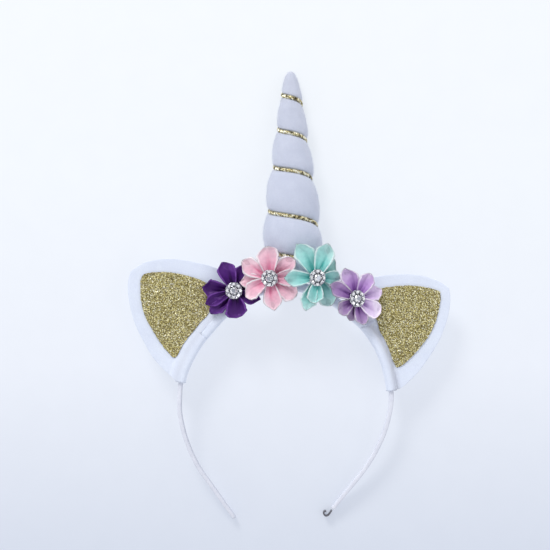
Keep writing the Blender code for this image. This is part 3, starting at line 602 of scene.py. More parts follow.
path = np.array([tuple(v) for v in smooth_points([spot_of(row) for row in BAND], BAND_POINTS)])
step = np.roll(path, -1, axis=0) - np.roll(path, 1, axis=0)
step[0], step[-1] = path[1] - path[0], path[-1] - path[-2]
tangents = step / np.linalg.norm(step, axis=1)[:, None]
normals = np.cross(tangents, (0, 1, 0))
normals /= np.linalg.norm(normals, axis=1)[:, None]
sides = np.cross(normals, tangents)
sides /= np.linalg.norm(sides, axis=1)[:, None]
band_length = float(np.linalg.norm(np.diff(path, axis=0), axis=1).sum())
fine_station = np.linspace(CROWN_FIRST, CROWN_LAST, 1600)
fine_path, fine_normal = at_station(fine_station, path), at_station(fine_station, normals)
print("band line in mm:", round(band_length))


def offset_from_band(x, z):
    """Signed distance outward from the band's centre line in the front view."""
    flat = np.column_stack((np.ravel(x), np.ravel(z)))
    out = np.empty(len(flat))
    batch = 800
    for start in range(0, len(flat), batch):
        d = flat[start:start + batch, None, :] - fine_path[None, :, [0, 2]]
        best = np.argmin((d ** 2).sum(axis=2), axis=1)
        away = d[np.arange(len(best)), best]
        sign = np.where((away * fine_normal[best][:, [0, 2]]).sum(axis=1) >= 0, 1.0, -1.0)
        out[start:start + batch] = sign * np.linalg.norm(away, axis=1)
    return out.reshape(np.shape(x))


def nearest_station(x, z):
    """The band's point nearest to a place in the front view."""
    crown = path[CROWN_FIRST:CROWN_LAST + 1]
    return CROWN_FIRST + int(np.argmin((crown[:, 0] - x) ** 2 + (crown[:, 2] - z) ** 2))


def rounded_section(half_out, half_side, corner, count):
    """Even points round a flat strip's section, its four edges rounded."""
    outline = []
    for cx, cy, start in ((1, 1, 0), (-1, 1, 90), (-1, -1, 180), (1, -1, 270)):
        for k in range(7):
            a = math.radians(start + 15 * k)
            outline.append(Vector((cx * (half_out - corner) + corner * math.cos(a),
                                   cy * (half_side - corner) + corner * math.sin(a), 0)))
    outline.append(outline[0].copy())
    return np.array([tuple(v)[:2] for v in even_points(outline, count + 1)[:-1]])


def carried(stations, sections):
    """Points of sections carried along the band: one row of points a station."""
    centre = at_station(stations, path)
    out_way, side_way = at_station(stations, normals), at_station(stations, sides)
    return (centre[:, None, :] + out_way[:, None, :] * sections[..., 0:1]
            + side_way[:, None, :] * sections[..., 1:2])


# %% [markdown]
# ## The ribbon-wound band
# Satin ribbon 8 mm apart is wound round the steel at a slant, each turn lapping the last. A pressed
# lap is only a few hundredths of a millimetre high, yet it shows as a fine slanting line. The sweep
# lifts the skin by a saw-tooth that runs along the band and round it together, as a helix does, and
# a painted shade line darkens the colour where each lap starts. The side of the band facing right
# is a little greyer with painted shade, by an amount that the mesh stores.

# %% Satin ribbon material
def satin_weave(tree, shader, place, scale, depth, below=None):
    """Fine crossing threads in the bump."""
    warp, weft = (add_node(tree, "ShaderNodeTexWave", {"bands_direction": way}, Vector=place,
                           Scale=threads, Distortion=0.6, Detail=1.0).outputs["Fac"]
                  for way, threads in (("X", scale), ("Y", scale * 0.7)))
    return bumped(tree, shader, worked_out(tree, "ADD", warp, weft), 0.35, depth, below)


ribbon_white, tree, shader = start_material("ribbon_white", 0.60, Sheen_Weight=0.15,
                                            Sheen_Roughness=0.5, Specular_IOR_Level=0.25)
place = object_coordinates(tree)
mottle = cloudy(tree, place, 260.0, 3.0)
lap = add_node(tree, "ShaderNodeUVMap", {"uv_map": "ribbon"})
split = add_node(tree, "ShaderNodeSeparateXYZ", Vector=lap.outputs["UV"])
# Painted shade: a little darker where each lap starts, along the lap's step.
edge = ramp(tree, split.outputs["X"], [(0.0, (0.74, 0.76, 0.84)), (0.04, (0.80, 0.82, 0.90)),
                                       (0.9, (0.82, 0.84, 0.92)), (1.0, (0.81, 0.83, 0.91))])
shade = ramp(tree, mottle, [(0.3, (0.92, 0.92, 0.94)), (0.7, (1.0, 1.0, 1.0))])
color = mixed(tree, 1.0, edge, shade, "MULTIPLY")
# Painted shade: the side facing right is mixed toward grey by the stored amount.
painted(tree, shader, mixed(tree, stored(tree, "wear_and_painted_shade"), color, (0.42, 0.43, 0.50)))
satin_weave(tree, shader, place, 1400.0, 0.00002)

# %% Wound band
RIBBON_PITCH = 8.0
RIBBON_LIFT = 0.035
BAND_AROUND = 36


def wound_band():
    """The ribbon's skin, swept along the band and lifted at each lap."""
    stations = np.arange(0, LAST_STATION + 0.01, 0.36)
    from_end = np.minimum(stations, LAST_STATION - stations)
    ease = np.minimum(1.0, from_end / 70)
    cap = np.clip(from_end / 0.9, 0.0, 1.0)
    cap = 0.72 + 0.28 * np.sqrt(1 - (1 - cap) ** 2)
    base = rounded_section(BAND_THICK / 2, BAND_WIDE / 2, 0.8, BAND_AROUND)
    run = stations * band_length / LAST_STATION
    turn = np.arange(BAND_AROUND) / BAND_AROUND
    lap_place = (run[:, None] / RIBBON_PITCH + turn[None, :]) % 1.0
    lift = RIBBON_LIFT * (1 - lap_place) * np.clip(lap_place / 0.04, 0, 1) - 0.05
    sections = np.empty((len(stations), BAND_AROUND, 2))
    sections[..., 0] = base[None, :, 0] * ((0.86 + 0.14 * ease) * cap)[:, None]
    sections[..., 1] = base[None, :, 1] * cap[:, None]
    length = np.linalg.norm(sections, axis=2)
    sections *= (1 + lift / length)[..., None]
    centre, out_way = at_station(stations, path), at_station(stations, normals)
    points = (centre[:, None, :] + out_way[:, None, :] * sections[..., 0:1]
              + np.array([0.0, -1.0, 0.0]) * sections[..., 1:2])
    faces = grid_faces(len(stations), BAND_AROUND, close_rows=True)
    last = (len(stations) - 1) * BAND_AROUND
    faces.append(tuple(range(BAND_AROUND)))
    faces.append(tuple(range(last, last + BAND_AROUND)))
    obj = make_piece("wound_ribbon_band", points, faces, ribbon_white)
    along = (run[:, None] + 0 * turn) / 100
    store_uv(obj.data, "ribbon", np.column_stack((lap_place.ravel(), along.ravel())))
    reworked(obj.data)
    ways = np.empty(len(obj.data.vertices) * 3)
    obj.data.vertices.foreach_get("normal", ways)
    right = ways.reshape(-1, 3)[:, 0]
    # Painted shade on the side whose normals face right.
    store(obj.data, "wear_and_painted_shade", 0.5 * np.clip((right - 0.45) / 0.5, 0, 1))
    return obj


band = wound_band()
print("band faces:", len(band.data.polygons))

# %% [markdown]
# ## The bare steel end
# At the right tip the ribbon has slipped and the rolled end of the steel shows, dark and slightly
# worn. It is the same flat strip curled inwards, so it is swept along a short curl with rounded
# edges instead of being a plain bar.

# %% Steel end
bare_steel, tree, shader = start_material("bare_steel", 0.33, Metallic=1.0)
place = object_coordinates(tree)
tarnish = cloudy(tree, place, 900.0, 4.0)
painted(tree, shader, ramp(tree, tarnish, [(0.3, (0.05, 0.045, 0.05)),
                                           (0.65, (0.26, 0.25, 0.28))]))
bumped(tree, shader, tarnish, 0.4, 0.0001)
CURL_POINTS = 60
STRIP_AROUND = 24
CURL_Y = 15.1
BARE_END = table(
    "x z",
    (27.9, -133.2), (26.95, -134.7), (25.6, -136.3), (24.0, -136.5), (23.0, -135.3),
    (23.4, -133.9), (24.5, -133.8),
)
curl = smooth_points([Vector((row["x"], CURL_Y, row["z"])) for row in BARE_END], CURL_POINTS)
strip = rounded_section(0.4, 2.9, 0.36, STRIP_AROUND)
points = []
for i, spot in enumerate(curl):
    along = (curl[min(i + 1, CURL_POINTS - 1)] - curl[max(i - 1, 0)]).normalized()
    out = along.cross(Vector((0, 1, 0)))
    for o, s in strip:
        points.append(tuple(spot + out * o + Vector((0, s, 0))))
faces = grid_faces(CURL_POINTS, STRIP_AROUND, close_rows=True)
faces += [tuple(range(start, start + STRIP_AROUND)) for start in (0, len(points) - STRIP_AROUND)]
steel_end = make_piece("rolled_steel_end", points, faces, bare_steel, merge=True)

# %% [markdown]
# ## The felt sleeve
# A strip of felt is wrapped round the crown so the flowers and horn have something to be glued to.
# It is a tube with a wall just over a millimetre thick. The outside is never quite even, so a slow
# noise moves it a little. Its two cut ends are drawn in and tucked under the ears, so no slit shows.

# %% Sleeve
left_notch = nearest_station(-51.3, -29.4)
right_notch = nearest_station(48.4, -23.2)


def felt_sleeve():
    """The tube of felt along the crown, narrower where the ears cover its ends."""
    stations = np.linspace(left_notch + 0.6, right_notch - 0.6, 240)
    count = 56
    shape = (len(stations), count, 2)
    clear_of_ears = np.minimum(stations - left_notch, right_notch - stations) - 1.45
    tuck = 0.7 * (1 - np.clip(clear_of_ears, 0, 0.5) / 0.5)[:, None, None]
    outline = np.broadcast_to(rounded_section(WRAP_HALF, WRAP_DEEP, 1.9, count), shape)
    lining = np.broadcast_to(rounded_section(TUNNEL_HALF, TUNNEL_DEEP, 0.8, count), shape)
    outer = carried(stations, outline - tuck * np.sign(outline) * np.minimum(np.abs(outline), 1.0))
    inner = carried(stations, lining)
    centre = at_station(stations, path)
    for c in range(len(stations)):
        for k in range(count):
            p = outer[c, k]
            away = p - centre[c]
            lump = noise.noise(Vector(p * 0.16)) * 0.22 + noise.noise(Vector(p * 0.6)) * 0.07
            outer[c, k] = p + away / np.linalg.norm(away) * lump
    points = np.concatenate((outer.reshape(-1, 3), inner.reshape(-1, 3)))
    total = len(stations) * count
    faces = grid_faces(len(stations), count, close_rows=True)
    faces += grid_faces(len(stations), count, offset=total, close_rows=True)
    for c in (0, len(stations) - 1):
        for k in range(count):
            m = (k + 1) % count
            faces.append((c * count + k, c * count + m, total + c * count + m, total + c * count + k))
    return make_piece("felt_sleeve", points, faces, felt_white, merge=True)


sleeve = felt_sleeve()
print("sleeve felt in square mm:", round(half_area(sleeve) * 1e6))

# %% [markdown]
# ## The folded felt ears
# Each ear is one piece of felt folded round the band with its two leaves glued together. To keep
# the cut edge honest, the mesh is the folded sheet itself: an outer skin and an inner skin 1.2 mm
# apart. Front and back share their points where they fold round the band. The two leaves meet in a
# fine line along the rim, and the crease beside the band gets painted shade, stored as a grey amount.

# %% Ear tables
LEFT_EAR = table(
    "x z",
    (-67.0, -53.4), (-71.7, -49.3), (-75.9, -45.3), (-81.3, -38.6), (-85.2, -31.8), (-89.2, -24.3),
    (-92.3, -16.4), (-94.3, -8.3), (-95.4, -1.5), (-95.4, 5.5), (-93.6, 12.2), (-86.6, 16.6),
    (-80.5, 18.4), (-73.8, 19.3), (-67.0, 19.3), (-60.3, 18.4), (-53.5, 17.0), (-46.7, 15.4),
    (-41.4, 13.4), (-35.0, 9.0), (-28.5, 3.6),
)
RIGHT_EAR = table(
    "x z",
    (67.2, -59.0), (68.8, -58.7), (73.3, -55.2), (79.3, -49.2), (84.0, -43.1), (88.6, -36.4),
    (92.1, -30.3), (94.7, -24.3), (96.9, -18.2), (98.5, -10.9), (99.0, -4.2), (98.2, 1.9),
    (94.1, 4.6), (90.1, 6.7), (85.4, 8.3), (80.0, 9.5), (73.3, 10.1), (66.5, 10.1), (59.7, 9.5),
    (53.7, 8.3), (45.0, 5.0), (38.0, -1.6),
)
LEFT_GLITTER = table(
    "x z",
    (-87.8, 5.5), (-87.4, -4.9), (-86.0, -12.1), (-83.2, -18.8), (-79.2, -25.7), (-75.3, -31.8),
    (-71.0, -37.0), (-66.8, -40.1), (-62.3, -32.5), (-58.9, -27.8), (-54.9, -23.1), (-51.0, -18.2),
    (-47.5, -14.6), (-43.7, -6.1), (-43.7, 1.2), (-47.5, 4.2), (-52.2, 6.7), (-57.1, 8.3),
    (-63.7, 10.0), (-70.4, 11.1), (-77.1, 11.2), (-82.6, 10.7), (-86.5, 9.1),
)
RIGHT_GLITTER = table(
    "x z",
    (92.9, -3.0), (92.9, -6.1), (91.7, -12.1), (90.1, -18.2), (87.4, -24.3), (84.0, -29.7),
    (80.0, -34.8), (75.9, -39.3), (71.2, -43.7), (67.0, -46.0), (64.9, -43.3), (63.3, -38.9),
    (61.7, -34.1), (59.3, -28.9), (56.5, -24.1), (55.0, -18.2), (51.6, -12.2), (50.6, -6.1),
    (52.8, -0.9), (58.3, 1.6), (63.1, 2.4), (69.8, 3.0), (76.5, 3.0), (83.2, 2.2), (88.0, 1.2),
    (92.3, -0.6),
)
# crease is how much painted shade the crease beside the band gets on each ear.
EARS = {
    "left": {"edge": LEFT_EAR, "panel": LEFT_GLITTER, "reach": 8.5, "power": 1.6, "corner": 10,
             "low": (-63.3, -54.6), "notch": left_notch, "high": (-26.5, -5.2), "crease": 0.30},
    "right": {"edge": RIGHT_EAR, "panel": RIGHT_GLITTER, "reach": 4.0, "power": 3.0, "corner": 11,
              "low": (62.9, -60.2), "notch": right_notch, "high": (37.0, -12.6), "crease": 0.55},
}


# %% Folded ears
WRAP_END, LEAF_START, CORNER_AT, EAR_END = 8.0, 8.12, 10.0, 15.0
EDGE_POINTS = 101


def fold_depth(away, half, deep):
    """Half depth of a rounded fold on the inner side of the band."""
    return deep * np.maximum(0.0, 1 - np.abs(away / half) ** 3) ** (1 / 3)


def ear_skin(away, ear, inner):
    """Half depth of the felt's outer or inner skin at a distance outward from the band."""
    beyond = np.clip(away / ear["reach"], 0.0, 1.0)
    leaf = LEAF_THICK / 2
    half = leaf + (WRAP_DEEP - leaf) * (1 - beyond ** ear["power"])
    near, deep = (TUNNEL_HALF, TUNNEL_DEEP) if inner else (WRAP_HALF, WRAP_DEEP)
    beside = np.maximum(half - FELT_WALL, 0.03) if inner else half
    return np.where(away <= 0, fold_depth(np.maximum(away, -near), near, deep), beside)


def ear_columns(ear):
    """Near and far ends of each column of the ear, and whether it is wrapped round the band.

    A column's place runs from 0 at the ear's low end past its top corner to its end at the crown.
    """
    low, high, notch = nearest_station(*ear["low"]), nearest_station(*ear["high"]), ear["notch"]
    way = 1 if high > low else -1
    wrap = np.linspace(0.0, WRAP_END, 41)
    leaf = np.linspace(LEAF_START, EAR_END, 35)
    place = np.concatenate((wrap, leaf))
    wrapped = np.arange(len(place)) < len(wrap)
    wrap_end = notch + 1.7 * way
    past_wrap = (place - LEAF_START) / (EAR_END - LEAF_START)
    beyond = wrap_end + 0.08 * way + (high - wrap_end) * past_wrap
    station = np.where(wrapped, low + (wrap_end - low) * place / WRAP_END, beyond)
    out = np.where(wrapped, -WRAP_HALF, WRAP_HALF - 0.55)
    near = at_station(station, path) + at_station(station, normals) * out[:, None]
    start = path[low] + normals[low] * WRAP_HALF
    close = path[high] + normals[high] * (WRAP_HALF + GAP + 3.0)
    edge = [Vector(start)] + [spot_of(row) for row in ear["edge"]] + [Vector(close)]
    corner = ear["corner"] + 1
    below = np.array([tuple(v) for v in smooth_points(edge[:corner + 1], EDGE_POINTS)])
    above = np.array([tuple(v) for v in smooth_points(edge[corner:], EDGE_POINTS)])
    marks = np.linspace(0, 1, EDGE_POINTS)
    far = np.empty_like(near)
    for k in range(3):
        first = np.interp(place / CORNER_AT, marks, below[:, k])
        second = np.interp((place - CORNER_AT) / (EAR_END - CORNER_AT), marks, above[:, k])
        far[:, k] = np.where(place <= CORNER_AT, first, second)
    near[:, 1] = 0.0
    far[:, 1] = 0.0
    return near, far, wrapped


def drop_loose_points(bm):
    """An edit that removes the points no face uses, and counts the open edges left."""
    bmesh.ops.delete(bm, geom=[v for v in bm.verts if not v.link_faces], context="VERTS")
    print("ear open edges:", sum(e.is_boundary for e in bm.edges), "of", len(bm.edges))


def folded_ear(name, ear):
    """One ear: the outer and inner skins of both leaves, joined at the rim, ends and fold."""
    near, far, wrapped = ear_columns(ear)
    span = np.linalg.norm(far - near, axis=1)
    turn = np.radians(np.linspace(0, 90, 10))
    fold_rows = 1 - np.cos(turn) ** (2 / 3)
    flat_rows = np.linspace(0, 1, 34)[1:]
    flat_rows = 0.5 * flat_rows + 0.5 * flat_rows ** 1.8
    scale = np.minimum(1.0, span / 17.0)[:, None]
    folded = WRAP_HALF * fold_rows[None, :] * scale
    rest = span[:, None] - folded[:, -1:]
    trim = np.concatenate((folded, folded[:, -1:] + rest * flat_rows[None, :]), axis=1)
    rim = [span[:, None] - inset * scale for inset in (0.45, 0.15, 0.0)]
    trim = np.sort(np.concatenate([trim[:, :-1]] + rim, axis=1), axis=1)
    rows = trim.shape[1]
    skins = []
    for inner in (False, True):
        run = trim.copy()
        if inner:
            shift = np.where(wrapped, FELT_WALL, 0.0)[:, None] * scale
            run = run + shift * np.clip(1 - run / (WRAP_HALF * scale), 0, 1)
        way = (far - near) / span[:, None]
        flat = near[:, None, :] + way[:, None, :] * run[..., None]
        off = offset_from_band(flat[..., 0], flat[..., 2])
        half = ear_skin(off, ear, inner)
        half[:, -2:] += (0.05, 0.2) if inner else (-0.07, -0.26)
        bow = -2.5 * np.maximum(0.0, off / 55) ** 2
        for sign in (-1, 1):
            layer = flat.copy()
            layer[..., 1] = bow + sign * half
            skins.append(layer)
    for c in range(len(near)):
        for r in range(rows):
            p = skins[0][c, r]
            calm = min(1.0, r / 24)
            wave = noise.noise(Vector((p[0] * 0.055, 3.0, p[2] * 0.055))) * 0.7 * calm
            dent = noise.noise(Vector((p[0] * 0.3, 9.0, p[2] * 0.3))) * 0.10 * calm
            for layer, dented in zip(skins, (-dent, dent, 0.0, 0.0)):
                layer[c, r, 1] += wave + dented
    total = len(near) * rows
    faces = []
    for index in range(4):
        faces += grid_faces(len(near), rows, offset=index * total)
    outer_front, outer_back, inner_front, inner_back = (index * total for index in range(4))
    cut = int(wrapped.sum())

    def close_edge(a, b):
        """Closes the felt's cut edge between its outer and inner skins on both leaves."""
        for outer, lining in ((outer_front, inner_front), (outer_back, inner_back)):
            faces.append((outer + a, outer + b, lining + b, lining + a))

    for c in range(len(near) - 1):
        close_edge(c * rows + rows - 1, (c + 1) * rows + rows - 1)
        if c + 1 >= cut:
            close_edge(c * rows, (c + 1) * rows)
    for c in (0, len(near) - 1):
        for r in range(rows - 1):
            close_edge(c * rows + r, c * rows + r + 1)
    shared = {back + c * rows: front + c * rows for c in range(cut)
              for front, back in ((outer_front, outer_back), (inner_front, inner_back))}
    faces = [tuple(shared.get(i, i) for i in face) for face in faces]
    points = np.concatenate([layer.reshape(-1, 3) for layer in skins])
    obj = make_piece(name + "_folded_ear", points, faces, felt_white)
    # Painted shade along the crease beside the band, scaled by the ear's crease amount.
    off = offset_from_band(points[:, 0], points[:, 2])
    crease = np.clip((off + 0.5) / 3.0, 0, 1) * np.clip((WRAP_HALF + 4.0 - off) / 3.5, 0, 1)
    store(obj.data, "painted_shade", ear["crease"] * crease)
    reworked(obj.data, drop_loose_points)
    return obj


ears = {name: folded_ear(name, ear) for name, ear in EARS.items()}
for name, obj in ears.items():
    print(name, "ear felt in square mm:", round(half_area(obj) * 1e6),
          "faces:", len(obj.data.polygons))

# %% [markdown]
# ## Gold glitter on the ears
# The inner ear is a stiff glitter sheet: foil flakes stuck flat to a backing. A texture alone looks
# like sand, because real flakes are tiny mirrors that each lean their own way. So the backing is a
# thin solid seated on the felt by ray casts, and Geometry Nodes scatter small six-sided flakes
# over it, each with its own lean, turn and size, and a random painted glint: a shade from
# near-black to near-white in its colour, standing in for the light it mirrors.

# %% Glitter materials
glitter_back, tree, shader = start_material("glitter_gold", 0.5, Metallic=0.6)
place = object_coordinates(tree)
grit = add_node(tree, "ShaderNodeTexVoronoi", Vector=place, Scale=2600.0)
painted(tree, shader, ramp(tree, grit.outputs["Distance"], [(0.1, (0.42, 0.36, 0.19)),
                                                            (0.5, (0.20, 0.16, 0.08))]))
bumped(tree, shader, grit.outputs["Distance"], 0.7, 0.0002)

glitter_flake, tree, shader = start_material("glitter_flakes", 0.4, Metallic=0.35)
# Painted glints: each flake's stored random shade picks its colour, from near-black to near-white.
shade = stored(tree, "shade")
foil_with_painted_glints = ramp(tree, shade, [(0.0, (0.07, 0.055, 0.012)), (0.3, (0.26, 0.215, 0.055)),
                          (0.65, (0.62, 0.53, 0.18)), (0.86, (1.0, 0.93, 0.52)),
                          (1.0, (1.0, 1.0, 0.88))])
painted(tree, shader, foil_with_painted_glints)
sparkle = add_node(tree, "ShaderNodeMath", {"operation": "MULTIPLY_ADD"}, i0=shade, i1=-0.2, i2=0.55)
tree.links.new(sparkle.outputs[0], shader.inputs["Roughness"])

# %% Glitter backing
PANEL_EDGE = 180
SHRINKS = (1.0, 0.985, 0.95, 0.86, 0.74, 0.6, 0.45, 0.3, 0.15)
ABOVE_EAR = 60
SHEET_GAP = 0.12


def glitter_panel(name, ear, felt):
    """The sheet that lies on an ear's front, and its top face alone for the flakes to land on."""
    points = [v.co / MM for v in felt.data.vertices]
    tree = BVHTree.FromPolygons(points, [tuple(p.vertices) for p in felt.data.polygons])
    edge = [spot_of(row) for row in ear["panel"]]
    edge = smooth_points(edge + [edge[0]], PANEL_EDGE + 1)[:-1]
    middle = sum(edge, Vector()) / len(edge)
    front, back = [], []
    for shrink in SHRINKS:
        for spot in edge:
            place = middle.lerp(spot, shrink)
            hit = tree.ray_cast(Vector((place.x, place.z, ABOVE_EAR)), Vector((0, 0, -1)))[0]
            face = -(hit.z if hit is not None else LEAF_THICK / 2) - SHEET_GAP
            ragged = 0.0
            if shrink > 0.97:
                ragged = noise.noise(Vector((spot.x * 1.3, 1.0, spot.z * 1.3))) * 0.18
            thick = 0.45 if shrink == 1.0 else 0.72
            out = (spot - middle).normalized() * ragged
            front.append((place.x + out.x, face - thick, place.z + out.z))
            back.append((place.x + out.x, face, place.z + out.z))
    total = len(SHRINKS) * PANEL_EDGE
    faces = grid_faces(len(SHRINKS), PANEL_EDGE, close_rows=True)
    front_faces = len(faces)
    faces += grid_faces(len(SHRINKS), PANEL_EDGE, offset=total, close_rows=True)
    for k in range(PANEL_EDGE):
        m = (k + 1) % PANEL_EDGE
        faces.append((k, m, total + m, total + k))
    hub = total - PANEL_EDGE
    faces.append(tuple(range(hub, total)))
    faces.append(tuple(range(total + hub, 2 * total)))
    obj = make_piece(name + "_glitter_sheet", front + back, faces, glitter_back)
    reworked(obj.data)
    top = faces[:front_faces] + [tuple(range(hub, total))]
    skin = make_piece(name + "_flake_bed", front, top, glitter_back)
    if skin.data.polygons[0].normal.z < 0:
        skin.data.flip_normals()
    return obj, skin


# %% Flakes scattered by Geometry Nodes
tree, given, ends = start_tree("glitter_scatter", [
    ("Density", "NodeSocketFloat"), ("Flake Radius", "NodeSocketFloat"), ("Lean", "NodeSocketFloat"),
    ("Seed", "NodeSocketInt"), ("Material", "NodeSocketMaterial")])
scatter = add_node(tree, "GeometryNodeDistributePointsOnFaces", Mesh=given["Geometry"],
                   Density=given["Density"], Seed=given["Seed"])
flake = add_node(tree, "GeometryNodeMeshCircle", {"fill_type": "NGON"}, Vertices=6,
                 Radius=given["Flake Radius"])
tilt_x, tilt_y = (worked_out(tree, "MULTIPLY", random_number(tree, -1.0, 1.0, seed), given["Lean"])
                  for seed in (given["Seed"], 7))
angles = add_node(tree, "ShaderNodeCombineXYZ", X=tilt_x, Y=tilt_y,
                  Z=random_number(tree, 0.0, 6.283, 11))
laid_flakes = add_node(tree, "GeometryNodeInstanceOnPoints", Points=scatter.outputs["Points"],
                       Instance=flake.outputs["Mesh"], Rotation=angles.outputs["Vector"],
                       Scale=random_number(tree, 0.6, 1.3, 23))
shaded = add_node(tree, "GeometryNodeStoreNamedAttribute",
                  {"data_type": "FLOAT", "domain": "INSTANCE"}, Name="shade",
                  Geometry=laid_flakes.outputs["Instances"], Value=random_number(tree, 0.0, 1.0, 31))
real = add_node(tree, "GeometryNodeRealizeInstances", Geometry=shaded.outputs["Geometry"])
raised = add_node(tree, "GeometryNodeSetPosition", Geometry=real.outputs["Geometry"],
                  Offset=(0.0, 0.0, 0.00006))
dressed = add_node(tree, "GeometryNodeSetMaterial", Geometry=raised.outputs["Geometry"],
                   Material=given["Material"])
tree.links.new(dressed.outputs["Geometry"], ends["Geometry"])

panels, flakes = {}, {}
for seed, (name, ear) in enumerate(EARS.items()):
    panels[name], bed = glitter_panel(name, ear, ears[name])
    flakes[name] = grown(name + "_glitter_flakes", bed, tree, {
        "Density": 7.5e6, "Flake Radius": 0.27 * MM, "Lean": 0.34, "Seed": 3 + seed,
        "Material": glitter_flake}, keep_source=False)
    print(name, "flakes:", len(flakes[name].data.polygons))

# %% [markdown]
# ## Satin petals
# Each petal is a square of satin ribbon folded to a point: two thicknesses of cloth, a soft valley
# down the middle, rolled rims that stand up, and gathers at the inner end where the thread pulls it
# in. Eight of them overlap in three levels round a button. One function makes the fold from a row of
# the table, and bends one corner over. UVs along and across the petal carry its colour and the
# painted highlight along the rims and toward the tip. The mesh stores how deep in a fold each point
# is, which sets the painted shade there, a tone of painted shade for each petal and layer, and the
# painted highlight on a turned-over patch.

# %% Petal tables
PETAL_STEP = 1.35
# Colours per flower: deep is the painted shade in folds and near the button, face the satin's own, rim
# the painted highlight on rims and tips, gloss the shine's tint.
FLOWERS = table(
    "name x z back slope_x slope_z rest deep face rim gloss",
    ("purple", -31.3, -0.3, -5.6, 0.0, 0.0, -4.3,
     (0.006, 0.0005, 0.020), (0.052, 0.004, 0.135), (0.22, 0.08, 0.40), (0.75, 0.45, 1.0)),
    ("pink", -9.8, 6.9, -13.3, -0.22, -0.15, -10.9,
     (0.78, 0.16, 0.32), (0.93, 0.52, 0.64), (1.0, 0.93, 0.95), (1.0, 0.85, 0.9)),
    ("mint", 18.0, 7.0, -16.0, 0.35, -0.1, -10.9,
     (0.035, 0.42, 0.38), (0.36, 0.80, 0.75), (0.86, 1.0, 0.98), (0.85, 1.0, 1.0)),
    ("lilac", 41.8, -5.2, -10.8, 0.42, 0.0, -1.6,
     (0.14, 0.025, 0.27), (0.52, 0.28, 0.68), (0.98, 0.90, 1.0), (0.9, 0.8, 1.0)),
)
# tone is each petal's painted shade; the last column adds painted highlight to the petal.
PETAL_COLUMNS = "angle reach layer wide bowl skew blunt tone pale"
PETALS = {
    "purple": table(
        PETAL_COLUMNS,
        (109, 18.4, 0, 5.0, 1.0, 0.2, 0.3, 1.0), (66, 16.4, 1, 4.0, 1.1, 0.0, 0.5, 0.9),
        (10, 14.0, 2, 4.0, 0.9, 0.0, 0.0, 0.7), (-23, 16.6, 1, 3.7, 1.5, 0.4, 0.0, 0.9),
        (-82, 16.3, 0, 5.5, 1.9, -0.1, 1.0, 0.9), (227, 19.4, 1, 3.6, 1.3, -0.2, 0.4, 0.9),
        (205, 18.6, 0, 3.4, 1.5, 0.0, 0.2, 1.0), (176, 19.0, 2, 5.0, 1.7, -0.2, 0.1, 0.9),
    ),
    "pink": table(
        PETAL_COLUMNS,
        (96, 18.6, 0, 5.9, 1.2, 0.0, 0.6, 1.0), (151, 19.6, 1, 5.0, 1.1, -0.2, 0.3, 1.0),
        (187, 18.0, 2, 4.4, 1.2, 0.0, 0.1, 1.0), (213, 18.0, 0, 4.6, 1.3, 0.3, 0.4, 1.0),
        (277, 19.2, 1, 5.0, 1.5, 0.1, 0.1, 1.0), (327, 19.0, 2, 5.6, 1.1, 0.0, 0.7, 0.97),
        (0, 16.0, 1, 4.6, 1.0, 0.0, 0.0, 0.9), (39, 18.4, 2, 4.7, 1.1, -0.2, 0.5, 1.0),
    ),
    "mint": table(
        PETAL_COLUMNS,
        (116, 22.6, 1, 5.6, 1.2, 0.45, 0.2, 1.0), (71, 21.2, 0, 5.4, 1.4, 0.0, 0.2, 1.0),
        (42, 15.4, 2, 4.2, 1.1, 0.2, 0.4, 0.8), (0, 13.8, 1, 3.9, 1.2, 0.0, 0.8, 0.85),
        (299, 18.4, 2, 5.2, 0.9, 0.0, 0.6, 0.85), (266, 15.2, 0, 4.4, 1.9, -0.1, 0.5, 1.0),
        (250, 20.6, 1, 4.3, 1.2, 0.1, 0.1, 1.0), (183, 19.2, 0, 4.4, 1.7, -0.1, 0.1, 1.0),
    ),
    "lilac": table(
        PETAL_COLUMNS,
        (107, 19.2, 1, 5.0, 1.4, 0.3, 0.1, 0.97), (59, 17.3, 0, 4.2, 1.1, 0.1, 0.5, 1.0),
        (20, 16.5, 1, 4.4, 1.0, 0.0, 0.2, 1.06, 0.35),
        (-31, 16.9, 0, 4.6, 1.3, 0.0, 0.9, 1.12, 0.5), (-75, 16.0, 1, 3.6, 1.5, 0.1, 0.4, 0.8),
        (252, 13.6, 2, 3.6, 1.3, 0.0, 0.3, 0.65), (216, 13.6, 1, 4.0, 1.5, 0.2, 0.5, 0.68),
        (154, 17.8, 0, 4.4, 1.8, 0.0, 0.2, 0.74),
    ),
}


